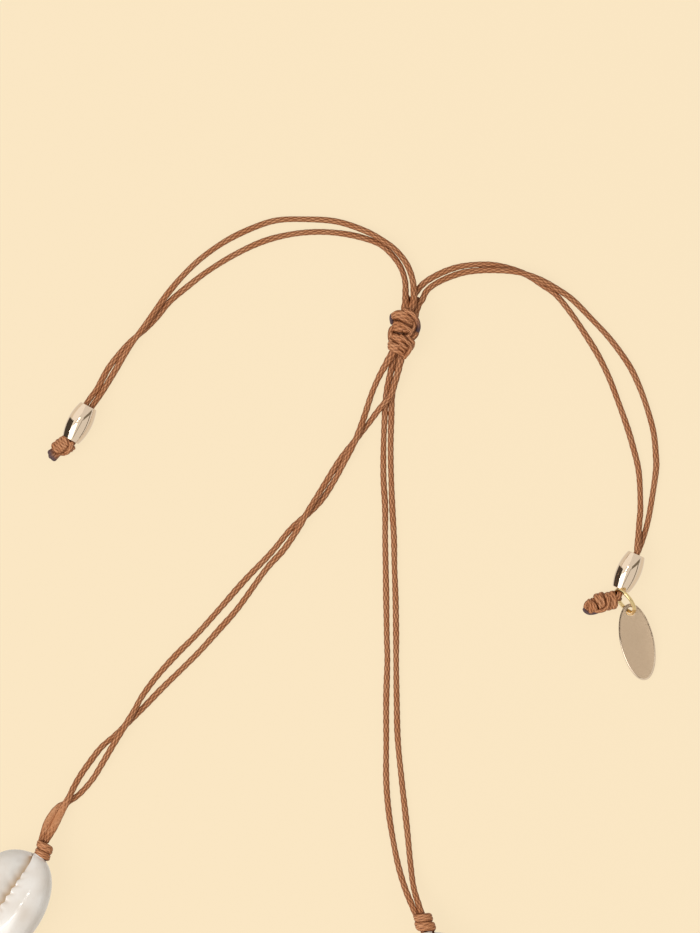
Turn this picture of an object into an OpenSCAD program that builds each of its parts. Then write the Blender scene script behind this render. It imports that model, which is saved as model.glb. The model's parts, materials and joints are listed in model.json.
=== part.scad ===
/* [Cord] */
// Diameter of the round waxed cord
cord_d = 1; // [0.8:0.05:1]
// Height of the threading holes above the surface that the necklace lies on
thread_h = 4.2; // [4:0.1:4.4]

/* [Shells] */
// Length of one cowrie shell
shell_len = 21.9; // [19:0.1:21.9]
// Half of the shell's width, on the side that faces the neck
shell_in = 6.9; // [6:0.1:7.2]
// Half of the shell's width, on the side that faces outwards
shell_out = 7.6; // [6:0.1:8]
// Height of the shell, dome down and slit up
shell_h = 9.5; // [8.5:0.1:10]
// Width of the slit
slit_w = 1; // [0.8:0.1:1.4]
// Distance of the slit from the thread's line
slit_shift = 0.9; // [0.6:0.1:1.2]
// Thickness of the shell's wall at its middle
shell_wall = 1.3; // [1:0.1:1.6]

/* [Knots] */
// Radius of the small knots between the shells
knot_r = 1.7; // [1.4:0.1:1.8]
// Half of the length of a small knot between two shells
knot_half = 1.35; // [1:0.05:1.4]

/* [Metal] */
// Length of a barrel bead
bead_len = 7; // [6.4:0.1:7]
// Diameter of a barrel bead at its middle
bead_d = 4.5; // [4.2:0.1:4.5]
// Diameter of a barrel bead at its ends
bead_end_d = 2.9; // [2.8:0.1:3.2]
// Diameter of the hole through a barrel bead
bead_bore = 2.3; // [2.25:0.05:2.4]
// Radius of the jump ring, to the middle of its wire
ring_r = 2.45; // [2.4:0.05:2.5]
// Diameter of the jump ring's wire
ring_wire = 0.7; // [0.6:0.05:0.7]
// Length of the oval tag
tag_len = 14.3; // [13.6:0.1:14.4]
// Width of the oval tag
tag_w = 6.2; // [5:0.1:7]
// Thickness of the oval tag
tag_t = 0.7; // [0.5:0.05:0.75]
// Diameter of the hole in the tag
tag_hole = 1.8; // [1.7:0.05:1.9]

/* [Hidden] */
cord_r = cord_d / 2;
pair_half = 0.56;
shell_count = 8;

// The chain of shells lies on a circle through its first and last knot.
first_knot = [-44.6, -6];
last_knot = [24.5, -19.6];
first_heading = -124;
chain_span = norm(last_knot - first_knot);
chain_mean = atan2(last_knot[1] - first_knot[1], last_knot[0] - first_knot[0]);
chain_turn = 2 * (chain_mean - first_heading) / (shell_count - 1);
chain_pitch = chain_span * sin(chain_turn / 2) / sin(shell_count * chain_turn / 2);
shell_start = (chain_pitch - shell_len) / 2 - 0.2;
function shell_heading(i) = first_heading + chain_turn * i;
function chain_knot(i) = i == 0 ? first_knot
    : chain_knot(i - 1) + chain_pitch * [cos(shell_heading(i - 1)), sin(shell_heading(i - 1))];

// Headings of the first and last small knot, which follow the doubled cord into them
first_knot_heading = -103;
last_knot_heading = 108;
end_knot_tail = 1.75;

// Stations along a shell, as shares of its length
shell_stations = [0, 0.02, 0.07, 0.15, 0.26, 0.38, 0.5, 0.62, 0.74, 0.85, 0.93, 0.98, 1];
shell_around = 13;
shell_end_r = 1.9;
shell_end_wall = 0.65;
end_slit_shift = 0.6;
shell_rise = 1.2;

// Routes of the cord's strands: x, y and height of the middle of the cord
left_tail_a_route = [[22, 92.2, 3], [22.4, 93.1, 2.8], [22.5, 94.4, 2.4], [22.3, 97.2, 1.6],
    [21.3, 100, 1.2], [19.4, 102.5, 1.4], [17.1, 104.3, 1.5], [13.6, 106.2, 1.1], [8.4, 107.9, 0.5],
    [2.5, 108.3, 0.5], [-2.4, 108.1, 0.5], [-6.6, 106.8, 0.5], [-11.4, 104.5, 0.5],
    [-15.9, 101.4, 0.5], [-19.4, 98.1, 0.6], [-22.2, 94.8, 1], [-24.3, 91.9, 1.4],
    [-26.7, 88.5, 1.6], [-28.5, 86.1, 1.5], [-30.1, 83.6, 1.2], [-31.7, 80.9, 0.8],
    [-33.8, 77.4, 1.2], [-35, 75.6, 1.8], [-36.1, 74, 2.25], [-37.7, 71, 2.25], [-39.2, 68.2, 2.25]];
left_tail_b_route = [[20.9, 92.2, 3], [21, 93.1, 2.6], [21, 94.4, 2], [20.9, 97.2, 1],
    [19.9, 100, 0.5], [17.8, 102.6, 0.5], [15.4, 104.2, 0.5], [10.8, 105.5, 0.5], [5.6, 106, 0.5],
    [0.4, 105.6, 0.5], [-4.8, 104.3, 0.5], [-10, 101.9, 0.5], [-14.9, 98.9, 0.5], [-18.7, 96, 0.5],
    [-21.9, 93.3, 0.5], [-24.1, 90.6, 0.5], [-26.3, 88.3, 0.5], [-28.5, 86.5, 0.5],
    [-30.6, 84.3, 0.5], [-33, 81.2, 0.8], [-35, 77.5, 1.3], [-36.1, 76, 1.8], [-37.1, 74.5, 2.25],
    [-38.7, 71.5, 2.25], [-40.2, 68.7, 2.25]];
right_tail_a_route = [[21.9, 92.2, 1.8], [22.3, 93.7, 1.3], [23.1, 95.3, 1], [24.9, 97.1, 0.8],
    [28.1, 98.8, 0.6], [31.4, 99.8, 0.5], [35.3, 100.1, 0.5], [38.2, 99.8, 0.5], [41.1, 99, 0.5],
    [43.6, 97.9, 0.5], [45.8, 96.4, 0.5], [48.3, 94.6, 0.5], [50.8, 91.6, 0.5], [53.4, 87.8, 0.5],
    [56, 83.6, 0.5], [58, 79.5, 0.5], [59.6, 75.3, 0.5], [61.1, 71.1, 0.5], [62.2, 67.5, 0.5],
    [63.4, 62.4, 0.5], [63.7, 56.1, 0.5], [63.5, 53.3, 0.9], [63.3, 50.8, 1.7], [63.1, 49.1, 2.4],
    [62.9, 47.3, 2.8], [61.5, 44.2, 2.8], [60.1, 41.2, 2.8], [59.8, 40, 3.1], [58.8, 38.9, 3]];
right_tail_b_route = [[23, 92.1, 1.8], [23.3, 93.2, 1.5], [24.3, 94.7, 1.2], [25.9, 96.2, 0.9],
    [28.3, 97.5, 0.6], [31.5, 98.6, 0.6], [34.8, 99, 0.8], [37.8, 99, 1.3], [40.4, 98.8, 1.6],
    [42.9, 98.3, 1.6], [45.5, 97.3, 1.5], [47.9, 96, 1.1], [51.2, 93.8, 0.6], [54.7, 90.3, 0.5],
    [58.3, 86.4, 0.5], [61.6, 81.8, 0.5], [63.5, 77.9, 0.5], [65, 73.7, 0.5], [66.1, 69.5, 0.5],
    [66.5, 65.5, 0.5], [66.5, 62.4, 0.5], [65.5, 55.7, 0.5], [64.8, 52.4, 0.6], [64, 49.9, 1],
    [63.4, 48.4, 1.5], [62.9, 47.3, 1.74], [61.5, 44.2, 1.74], [60.1, 41.2, 1.74], [59.8, 40, 2],
    [58.8, 38.9, 1.9]];
left_strand_a_route = [[17.9, 82.7, 2], [16.3, 79.9, 1.2], [14.9, 76.7, 0.8], [13.6, 72.7, 1],
    [12.9, 70.7, 1.4], [12, 68.4, 1.6], [11, 66.3, 1.5], [9.9, 64.2, 1.1], [8.3, 61.2, 0.6],
    [6.3, 58, 0.5], [4.5, 55.9, 0.5], [2.4, 54, 0.5], [-0.1, 51.7, 0.5], [-3.5, 47.6, 0.5],
    [-8.2, 42.7, 0.5], [-12.5, 37.8, 0.5], [-16.8, 33, 0.5], [-20.7, 29.1, 0.5], [-24.2, 25.2, 0.6],
    [-26.8, 21.7, 1.1], [-28.5, 18.7, 1.6], [-31.8, 13.3, 1.6], [-34.1, 9.4, 1.1], [-35.9, 6.5, 0.6],
    [-38.3, 3.8, 0.5], [-40.5, 2.3, 0.7], [-42.4, 1.1, 1.5], [-44, -1.2, 2.8], [-44.9, -3.8, 3.9]];
left_strand_b_route = [[20.1, 82.7, 2.2], [19.7, 80.9, 2.2], [19.2, 79.1, 2.1], [18.3, 76.3, 1.8],
    [17, 74.7, 1.6], [15.7, 73.1, 1], [14.3, 71.2, 0.5], [12.1, 68.4, 0.5], [10, 65.8, 0.5],
    [8.5, 63.7, 0.5], [6.3, 60.1, 0.9], [4.4, 57.1, 1.5], [3, 54.8, 1.6], [1.7, 52.4, 1.4],
    [-1.1, 48.3, 0.5], [-4.4, 44.6, 0.5], [-9.4, 37.7, 0.5], [-12.9, 33.7, 0.5], [-16.3, 29.9, 0.5],
    [-19.8, 26.4, 0.5], [-23.3, 23, 0.5], [-26.3, 19.9, 0.5], [-28.9, 17.3, 0.5],
    [-31.7, 14.6, 0.5], [-34.3, 12.3, 0.5], [-36.4, 9.6, 0.5], [-38.2, 7, 0.8], [-39.7, 4.2, 1.5],
    [-40.9, 1.3, 2], [-42.3, -1.7, 3], [-43.8, -4, 4.1]];
right_strand_a_route = [[18.8, 82.6, 1.3], [18.1, 79.6, 0.8], [17.5, 76.4, 0.5], [17.2, 72, 0.5],
    [17, 66.6, 0.5], [17, 61.2, 0.5], [17.3, 55.8, 0.5], [17.3, 50.4, 0.5], [17.4, 45.1, 0.5],
    [17.5, 39.1, 0.5], [17.6, 32.2, 0.5], [17.7, 28.2, 0.5], [17.5, 20.9, 0.5], [17.5, 13.7, 0.5],
    [17.5, 6.4, 0.5], [17.9, 1, 0.5], [18.6, -3.7, 0.6], [19.6, -8.8, 1.2], [20.9, -13.2, 2.4],
    [22.5, -17.1, 3.9]];
right_strand_b_route = [[19.9, 82.6, 1], [19.4, 79.6, 0.7], [18.6, 76.4, 0.5], [18.4, 72, 0.5],
    [18.3, 66.6, 0.5], [18.4, 61.2, 0.5], [18.6, 55.8, 0.5], [18.9, 50.4, 0.5], [19, 45.1, 0.5],
    [19.2, 39.1, 0.5], [19.3, 32.2, 0.5], [19.3, 28.2, 0.5], [19.4, 20.9, 0.5], [19.6, 13.7, 0.5],
    [20.3, 6.4, 0.5], [20.9, 1, 0.5], [21.4, -3.7, 0.6], [21.9, -8.8, 1.2], [22.5, -13.2, 2.4],
    [23.6, -16.9, 3.9]];
strand_sides = 8;
strand_steps = 2;

// Sliding knot, one row for each band: y, left edge, right edge, half of its height
slide_knot_rows = [[91.9, 19.6, 22.9, 1.6], [91.4, 18.8, 22.7, 2], [90.7, 18.2, 22.9, 2.2],
    [89.8, 18.3, 23.5, 2.3], [88.7, 18.5, 23.6, 2.4], [88, 17.9, 23.5, 2.2], [87.3, 17.7, 23.2, 2.4],
    [86.4, 18, 22.6, 2.1], [85.3, 17.7, 22.5, 2.3], [84.5, 17.9, 21.9, 2.1], [83.6, 18.1, 21.1, 1.8],
    [83.1, 18.2, 20.6, 1.4]];
slide_knot_h = 2.4;
slide_knot_sides = 14;

// End knots, one row for each bulge: distance along the knot, radius
left_end_rows = [[0, 1.1], [0.5, 1.6], [1.2, 1.85], [2.1, 1.75], [2.9, 1.45], [3.6, 1.05],
    [4.5, 0.95], [4.9, 0.7]];
right_end_rows = [[0, 1.3], [0.6, 1.8], [1.4, 1.95], [2.2, 1.65], [3, 1.8], [3.9, 1.6], [4.7, 1.3],
    [5.4, 0.8]];
end_knot_sides = 12;
left_end_place = [-40.1, 67.7];
left_end_heading = -139;
right_end_place = [58.4, 38.8];
right_end_heading = 197;
end_knot_h = 2;

// Middles and headings of the barrel beads, which lie on their sides
left_bead_place = [-38.2, 71.25];
left_bead_heading = -118;
right_bead_place = [61.5, 44.25];
right_bead_heading = -114.5;

// The jump ring stands steeply, round the cord and through the tag's hole.
ring_place = [60.7, 39.1, 2.66];
ring_heading = -45;
ring_lean = 69;

// The tag lies on its lower end, with its holed end a little raised on the ring.
tag_place = [63.1, 31.5];
tag_heading = -77.6;
tag_tilt = 5;
tag_hole_in = 1.35;

cord_colour = "#B07A4C";
shell_colour = "#E3DCD2";
gold_colour = "#E0CDB0";
tag_colour = "#C8AE88";

// Side walls between rings of points, as triangles, and the two flat ends
function ring_walls(rings, sides) = [for (i = [0:rings - 2], j = [0:sides - 1], k = [0, 1])
    let (a = i * sides + j, b = i * sides + (j + 1) % sides)
    k == 0 ? [a, a + sides, b + sides] : [a, b + sides, b]];
function ring_caps(rings, sides) = [[for (j = [0:sides - 1]) j],
    [for (j = [sides - 1:-1:0]) (rings - 1) * sides + j]];

// A smooth curve through a route's points, never lower than a cord that lies on the surface
function curve_at(a, b, c, d, t) = 0.5 * (2 * b + (c - a) * t + (2 * a - 5 * b + 4 * c - d) * t * t
    + (3 * b - a - 3 * c + d) * t * t * t);
function on_surface(p) = [p[0], p[1], max(p[2], cord_r)];
function smooth_route(p) = let (n = len(p) - 1) [for (i = [0:n - 1], k = [0:strand_steps - 1])
    on_surface(curve_at(i == 0 ? 2 * p[0] - p[1] : p[i - 1], p[i], p[i + 1],
        i == n - 1 ? 2 * p[n] - p[n - 1] : p[i + 2], k / strand_steps)), p[n]];

module strand(route) {
    line = smooth_route(route);
    last = len(line) - 1;
    points = [for (i = [0:last])
        let (way = line[min(i + 1, last)] - line[max(i - 1, 0)])
        let (side = cross(way, [0, 0, 1]) / norm(cross(way, [0, 0, 1])))
        let (up = cross(side, way) / norm(cross(side, way)))
        for (j = [0:strand_sides - 1])
        let (turn = 360 * (j + 0.5) / strand_sides)
        line[i] + cord_r * (cos(turn) * side + sin(turn) * up)];
    color(cord_colour)
    polyhedron(points, concat(ring_walls(last + 1, strand_sides), ring_caps(last + 1, strand_sides)));
}

// A lumpy knot along x: each row is a distance and a radius, and its lumps turn from row to row.
module knot(rows, sides) {
    points = [for (i = [0:len(rows) - 1], j = [0:sides - 1])
        let (turn = 360 * j / sides, r = rows[i][1] * (1 + 0.05 * cos(2 * turn + 70 * i)))
        [rows[i][0], r * cos(turn), r * sin(turn)]];
    color(cord_colour)
    polyhedron(points, concat(ring_caps(len(rows), sides), ring_walls(len(rows), sides)));
}

module shell_knot(i) {
    tail = i == 0 ? end_knot_tail : knot_half;
    head = i == shell_count ? end_knot_tail : knot_half;
    heading = i == 0 ? first_knot_heading
        : i == shell_count ? last_knot_heading : shell_heading(i - 0.5);
    translate(concat(chain_knot(i), [thread_h])) rotate([0, 0, heading])
    knot([[-tail, 0.65 * knot_r], [-0.6 * tail, 0.95 * knot_r], [-0.1, 0.92 * knot_r],
        [0.5 * head, 0.97 * knot_r], [head, 0.65 * knot_r]], 10);
}

// How full a shell is at a share of its length, from 0 at its ends to 1 at its middle
function fullness(u, power) = sqrt(max(0, 1 - pow(abs(2 * u - 1), power)));

// One contour of a shell's section, from the slit round the dome and back to the slit
function shell_contour(u, wall) =
    let (wide = fullness(u, 2), waist = thread_h + shell_rise * wide)
    let (inner = max(shell_end_r, shell_in * wide) - wall)
    let (outer = max(shell_end_r, shell_out * fullness(u, 2.5)) - wall)
    let (top = max(shell_end_r, (shell_h - thread_h - shell_rise) * fullness(u, 3)) - wall)
    let (base = max(shell_end_r, (thread_h + shell_rise) * wide) - wall)
    let (slit = end_slit_shift + (slit_shift - end_slit_shift) * wide)
    let (from = asin((slit_w / 2 - slit) / outer), to = 360 - asin((slit_w / 2 + slit) / outer))
    [for (k = [0:shell_around - 1])
        let (turn = from + (to - from) * k / (shell_around - 1), y = sin(turn), z = cos(turn))
        [u * shell_len, y * (y > 0 ? inner : outer), waist + z * (z > 0 ? top : base)]];

// A cowrie shell with its slit up: an open ring of wall, drawn in from its middle to both ends
module cowrie() {
    around = 2 * shell_around;
    rings = len(shell_stations);
    points = [for (u = shell_stations)
        let (wall = shell_end_wall + (shell_wall - shell_end_wall) * pow(fullness(u, 2), 2))
        let (inside = shell_contour(u, wall))
        for (p = concat(shell_contour(u, 0), [for (k = [shell_around - 1:-1:0]) inside[k]])) p];
    lips = [for (k = [0:shell_around - 2]) [k, around - 1 - k, around - 2 - k, k + 1]];
    far = (rings - 1) * around;
    far_lips = [for (f = lips) [far + f[3], far + f[2], far + f[1], far + f[0]]];
    polyhedron(points, concat(ring_walls(rings, around), [for (f = lips) [f[3], f[2], f[1], f[0]]],
        [for (f = far_lips) [f[3], f[2], f[1], f[0]]]));
}

module shell(i) {
    color(shell_colour)
    translate(chain_knot(i)) rotate([0, 0, shell_heading(i)]) translate([shell_start, 0, 0]) cowrie();
}

// Two lengths of cord side by side through each shell, from knot to knot
module shell_cord() {
    gap = 0.4;
    color(cord_colour)
    for (i = [0:shell_count - 1], side = [-pair_half, pair_half])
        translate(concat(chain_knot(i), [thread_h])) rotate([0, 0, shell_heading(i)])
        translate([knot_half + gap, side, 0]) rotate([0, 90, 0])
        cylinder(h = chain_pitch - 2 * (knot_half + gap), r = cord_r, $fn = 32);
}

module slide_knot() {
    points = [for (row = slide_knot_rows, j = [0:slide_knot_sides - 1])
        let (turn = 360 * j / slide_knot_sides)
        [(row[1] + row[2] + (row[2] - row[1]) * cos(turn)) / 2, row[0],
            slide_knot_h + row[3] * sin(turn)]];
    rings = len(slide_knot_rows);
    color(cord_colour)
    polyhedron(points, concat(ring_caps(rings, slide_knot_sides), ring_walls(rings, slide_knot_sides)));
}

// A barrel bead: its side is an arc from end to end, and its hole runs through
module barrel_bead(place, heading) {
    bulge = (bead_d - bead_end_d) / 2;
    arc_r = (pow(bead_len / 2, 2) + bulge * bulge) / (2 * bulge);
    color(gold_colour)
    translate(concat(place, [bead_d / 2])) rotate([0, 0, heading]) rotate([0, 90, 0])
    rotate_extrude($fn = 96)
    difference() {
        intersection() {
            translate([bead_d / 2 - arc_r, 0]) circle(r = arc_r, $fn = 128);
            translate([0, -bead_len / 2]) square([bead_d, bead_len]);
        }
        translate([-bead_d, -bead_len]) square([bead_d + bead_bore / 2, 2 * bead_len]);
    }
}

module jump_ring() {
    color(gold_colour)
    translate(ring_place) rotate([0, 0, ring_heading]) rotate([ring_lean, 0, 0])
    rotate_extrude($fn = 96) translate([ring_r, 0]) circle(d = ring_wire, $fn = 32);
}

module tag() {
    points = 60;
    height = tag_len / 2 * sin(tag_tilt) + tag_t / 2;
    color(tag_colour)
    translate(concat(tag_place, [height])) rotate([0, 0, tag_heading]) rotate([0, tag_tilt, 0])
    translate([0, 0, -tag_t / 2])
    difference() {
        linear_extrude(tag_t) polygon([for (k = [0:points - 1])
            [tag_len / 2 * cos(360 * k / points), tag_w / 2 * sin(360 * k / points)]]);
        translate([tag_hole_in - tag_len / 2, 0, -tag_t]) cylinder(h = 3 * tag_t, d = tag_hole, $fn = 48);
    }
}

module end_knot(place, heading, rows) {
    translate(concat(place, [end_knot_h])) rotate([0, 0, heading]) knot(rows, end_knot_sides);
}

shell(0);  // shell_1
shell(1);  // shell_2
shell(2);  // shell_3
shell(3);  // shell_4
shell(4);  // shell_5
shell(5);  // shell_6
shell(6);  // shell_7
shell(7);  // shell_8
shell_cord();
shell_knot(0);  // shell_knot_1
shell_knot(1);  // shell_knot_2
shell_knot(2);  // shell_knot_3
shell_knot(3);  // shell_knot_4
shell_knot(4);  // shell_knot_5
shell_knot(5);  // shell_knot_6
shell_knot(6);  // shell_knot_7
shell_knot(7);  // shell_knot_8
shell_knot(8);  // shell_knot_9
strand(left_strand_a_route);  // left_strand_a
strand(left_strand_b_route);  // left_strand_b
strand(right_strand_a_route);  // right_strand_a
strand(right_strand_b_route);  // right_strand_b
slide_knot();
strand(left_tail_a_route);  // left_tail_a
strand(left_tail_b_route);  // left_tail_b
strand(right_tail_a_route);  // right_tail_a
strand(right_tail_b_route);  // right_tail_b
barrel_bead(left_bead_place, left_bead_heading);  // left_bead
barrel_bead(right_bead_place, right_bead_heading);  // right_bead
end_knot(left_end_place, left_end_heading, left_end_rows);  // left_end_knot
end_knot(right_end_place, right_end_heading, right_end_rows);  // right_end_knot
jump_ring();
tag();
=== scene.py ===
"""Shell necklace, lying flat: waxed cord, cowrie shells, a sliding knot, barrel beads and an oval tag."""

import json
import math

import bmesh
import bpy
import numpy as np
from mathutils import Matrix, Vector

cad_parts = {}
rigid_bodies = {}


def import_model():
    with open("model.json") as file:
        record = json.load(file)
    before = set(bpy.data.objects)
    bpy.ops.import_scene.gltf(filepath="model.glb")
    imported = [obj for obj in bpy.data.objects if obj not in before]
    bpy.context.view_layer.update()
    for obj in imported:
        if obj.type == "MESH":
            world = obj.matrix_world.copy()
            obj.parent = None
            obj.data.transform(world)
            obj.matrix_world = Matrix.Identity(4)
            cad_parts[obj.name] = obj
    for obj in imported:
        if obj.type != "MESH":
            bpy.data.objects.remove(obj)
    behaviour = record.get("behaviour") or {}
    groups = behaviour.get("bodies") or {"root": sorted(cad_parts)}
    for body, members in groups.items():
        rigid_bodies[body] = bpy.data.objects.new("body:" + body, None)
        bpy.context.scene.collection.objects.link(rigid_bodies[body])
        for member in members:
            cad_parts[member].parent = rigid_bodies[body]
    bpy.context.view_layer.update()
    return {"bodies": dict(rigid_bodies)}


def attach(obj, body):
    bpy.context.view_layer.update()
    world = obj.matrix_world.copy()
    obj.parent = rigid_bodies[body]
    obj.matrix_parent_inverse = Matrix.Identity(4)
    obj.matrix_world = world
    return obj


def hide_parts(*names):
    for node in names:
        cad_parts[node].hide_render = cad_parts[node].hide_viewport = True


bl_info = {
    "name": "Shell Necklace",
    "version": (1, 0, 0),
    "blender": (4, 5, 0),
    "location": "View3D > Sidebar > Necklace",
    "description": "Builds a waxed-cord necklace of cowrie shells with a sliding knot, beads and a tag",
    "category": "Add Mesh",
}

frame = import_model()
BODY = next(iter(frame["bodies"]))
MM = 0.001
FULL_TURN = 2 * math.pi


# The photograph's frame: its height in pixels, its scale, and the place of its middle on the floor
PHOTO_HEIGHT = 933
PIXELS_A_MM = 5.5
PHOTO_MIDDLE = (10.91 * MM, 63.36 * MM)
SENSOR_WIDTH = 36.0

# Routes of the cord's strands, in metres
LEFT_TAIL_A = [
    (0.022, 0.0922, 0.003), (0.0224, 0.0931, 0.0028), (0.0225, 0.0944, 0.0024), (0.0223, 0.0972, 0.0016),
    (0.0213, 0.1, 0.0012), (0.0194, 0.1025, 0.0014), (0.0171, 0.1043, 0.0015), (0.0136, 0.1062, 0.0011),
    (0.0084, 0.1079, 0.0005), (0.0025, 0.1083, 0.0005), (-0.0024, 0.1081, 0.0005), (-0.0066, 0.1068, 0.0005),
    (-0.0114, 0.1045, 0.0005), (-0.0159, 0.1014, 0.0005), (-0.0194, 0.0981, 0.0006), (-0.0222, 0.0948, 0.001),
    (-0.0243, 0.0919, 0.0014), (-0.0267, 0.0885, 0.0016), (-0.0285, 0.0861, 0.0015), (-0.0301, 0.0836, 0.0012),
    (-0.0317, 0.0809, 0.0008), (-0.0338, 0.0774, 0.0012), (-0.035, 0.0756, 0.0018), (-0.0361, 0.074, 0.00225),
    (-0.0377, 0.071, 0.00225), (-0.0392, 0.0682, 0.00225)]
LEFT_TAIL_B = [
    (0.0209, 0.0922, 0.003), (0.021, 0.0931, 0.0026), (0.021, 0.0944, 0.002), (0.0209, 0.0972, 0.001),
    (0.0199, 0.1, 0.0005), (0.0178, 0.1026, 0.0005), (0.0154, 0.1042, 0.0005), (0.0108, 0.1055, 0.0005),
    (0.0056, 0.106, 0.0005), (0.0004, 0.1056, 0.0005), (-0.0048, 0.1043, 0.0005), (-0.01, 0.1019, 0.0005),
    (-0.0149, 0.0989, 0.0005), (-0.0187, 0.096, 0.0005), (-0.0219, 0.0933, 0.0005), (-0.0241, 0.0906, 0.0005),
    (-0.0263, 0.0883, 0.0005), (-0.0285, 0.0865, 0.0005), (-0.0306, 0.0843, 0.0005), (-0.033, 0.0812, 0.0008),
    (-0.035, 0.0775, 0.0013), (-0.0361, 0.076, 0.0018), (-0.0371, 0.0745, 0.00225), (-0.0387, 0.0715, 0.00225),
    (-0.0402, 0.0687, 0.00225)]
RIGHT_TAIL_A = [
    (0.0219, 0.0922, 0.0018), (0.0223, 0.0937, 0.0013), (0.0231, 0.0953, 0.001), (0.0249, 0.0971, 0.0008),
    (0.0281, 0.0988, 0.0006), (0.0314, 0.0998, 0.0005), (0.0353, 0.1001, 0.0005), (0.0382, 0.0998, 0.0005),
    (0.0411, 0.099, 0.0005), (0.0436, 0.0979, 0.0005), (0.0458, 0.0964, 0.0005), (0.0483, 0.0946, 0.0005),
    (0.0508, 0.0916, 0.0005), (0.0534, 0.0878, 0.0005), (0.056, 0.0836, 0.0005), (0.058, 0.0795, 0.0005),
    (0.0596, 0.0753, 0.0005), (0.0611, 0.0711, 0.0005), (0.0622, 0.0675, 0.0005), (0.0634, 0.0624, 0.0005),
    (0.0637, 0.0561, 0.0005), (0.0635, 0.0533, 0.0009), (0.0633, 0.0508, 0.0017), (0.0631, 0.0491, 0.0024),
    (0.0629, 0.0473, 0.0028), (0.0615, 0.0442, 0.0028), (0.0601, 0.0412, 0.0028), (0.0598, 0.04, 0.0031),
    (0.0588, 0.0389, 0.003)]
RIGHT_TAIL_B = [
    (0.023, 0.0921, 0.0018), (0.0233, 0.0932, 0.0015), (0.0243, 0.0947, 0.0012), (0.0259, 0.0962, 0.0009),
    (0.0283, 0.0975, 0.0006), (0.0315, 0.0986, 0.0006), (0.0348, 0.099, 0.0008), (0.0378, 0.099, 0.0013),
    (0.0404, 0.0988, 0.0016), (0.0429, 0.0983, 0.0016), (0.0455, 0.0973, 0.0015), (0.0479, 0.096, 0.0011),
    (0.0512, 0.0938, 0.0006), (0.0547, 0.0903, 0.0005), (0.0583, 0.0864, 0.0005), (0.0616, 0.0818, 0.0005),
    (0.0635, 0.0779, 0.0005), (0.065, 0.0737, 0.0005), (0.0661, 0.0695, 0.0005), (0.0665, 0.0655, 0.0005),
    (0.0665, 0.0624, 0.0005), (0.0655, 0.0557, 0.0005), (0.0648, 0.0524, 0.0006), (0.064, 0.0499, 0.001),
    (0.0634, 0.0484, 0.0015), (0.0629, 0.0473, 0.00174), (0.0615, 0.0442, 0.00174), (0.0601, 0.0412, 0.00174),
    (0.0598, 0.04, 0.002), (0.0588, 0.0389, 0.0019)]
LEFT_STRAND_A = [
    (0.0179, 0.0827, 0.002), (0.0163, 0.0799, 0.0012), (0.0149, 0.0767, 0.0008), (0.0136, 0.0727, 0.001),
    (0.0129, 0.0707, 0.0014), (0.012, 0.0684, 0.0016), (0.011, 0.0663, 0.0015), (0.0099, 0.0642, 0.0011),
    (0.0083, 0.0612, 0.0006), (0.0063, 0.058, 0.0005), (0.0045, 0.0559, 0.0005), (0.0024, 0.054, 0.0005),
    (-0.0001, 0.0517, 0.0005), (-0.0035, 0.0476, 0.0005), (-0.0082, 0.0427, 0.0005), (-0.0125, 0.0378, 0.0005),
    (-0.0168, 0.033, 0.0005), (-0.0207, 0.0291, 0.0005), (-0.0242, 0.0252, 0.0006), (-0.0268, 0.0217, 0.0011),
    (-0.0285, 0.0187, 0.0016), (-0.0318, 0.0133, 0.0016), (-0.0341, 0.0094, 0.0011), (-0.0359, 0.0065, 0.0006),
    (-0.0383, 0.0038, 0.0005), (-0.0405, 0.0023, 0.0007), (-0.0424, 0.0011, 0.0015), (-0.044, -0.0012, 0.0028),
    (-0.0449, -0.0038, 0.0039)]
LEFT_STRAND_B = [
    (0.0201, 0.0827, 0.0022), (0.0197, 0.0809, 0.0022), (0.0192, 0.0791, 0.0021), (0.0183, 0.0763, 0.0018),
    (0.017, 0.0747, 0.0016), (0.0157, 0.0731, 0.001), (0.0143, 0.0712, 0.0005), (0.0121, 0.0684, 0.0005),
    (0.01, 0.0658, 0.0005), (0.0085, 0.0637, 0.0005), (0.0063, 0.0601, 0.0009), (0.0044, 0.0571, 0.0015),
    (0.003, 0.0548, 0.0016), (0.0017, 0.0524, 0.0014), (-0.0011, 0.0483, 0.0005), (-0.0044, 0.0446, 0.0005),
    (-0.0094, 0.0377, 0.0005), (-0.0129, 0.0337, 0.0005), (-0.0163, 0.0299, 0.0005), (-0.0198, 0.0264, 0.0005),
    (-0.0233, 0.023, 0.0005), (-0.0263, 0.0199, 0.0005), (-0.0289, 0.0173, 0.0005), (-0.0317, 0.0146, 0.0005),
    (-0.0343, 0.0123, 0.0005), (-0.0364, 0.0096, 0.0005), (-0.0382, 0.007, 0.0008), (-0.0397, 0.0042, 0.0015),
    (-0.0409, 0.0013, 0.002), (-0.0423, -0.0017, 0.003), (-0.0438, -0.004, 0.0041)]
RIGHT_STRAND_A = [
    (0.0188, 0.0826, 0.0013), (0.0181, 0.0796, 0.0008), (0.0175, 0.0764, 0.0005), (0.0172, 0.072, 0.0005),
    (0.017, 0.0666, 0.0005), (0.017, 0.0612, 0.0005), (0.0173, 0.0558, 0.0005), (0.0173, 0.0504, 0.0005),
    (0.0174, 0.0451, 0.0005), (0.0175, 0.0391, 0.0005), (0.0176, 0.0322, 0.0005), (0.0177, 0.0282, 0.0005),
    (0.0175, 0.0209, 0.0005), (0.0175, 0.0137, 0.0005), (0.0175, 0.0064, 0.0005), (0.0179, 0.001, 0.0005),
    (0.0186, -0.0037, 0.0006), (0.0196, -0.0088, 0.0012), (0.0209, -0.0132, 0.0024), (0.0225, -0.0171, 0.0039)]
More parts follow.
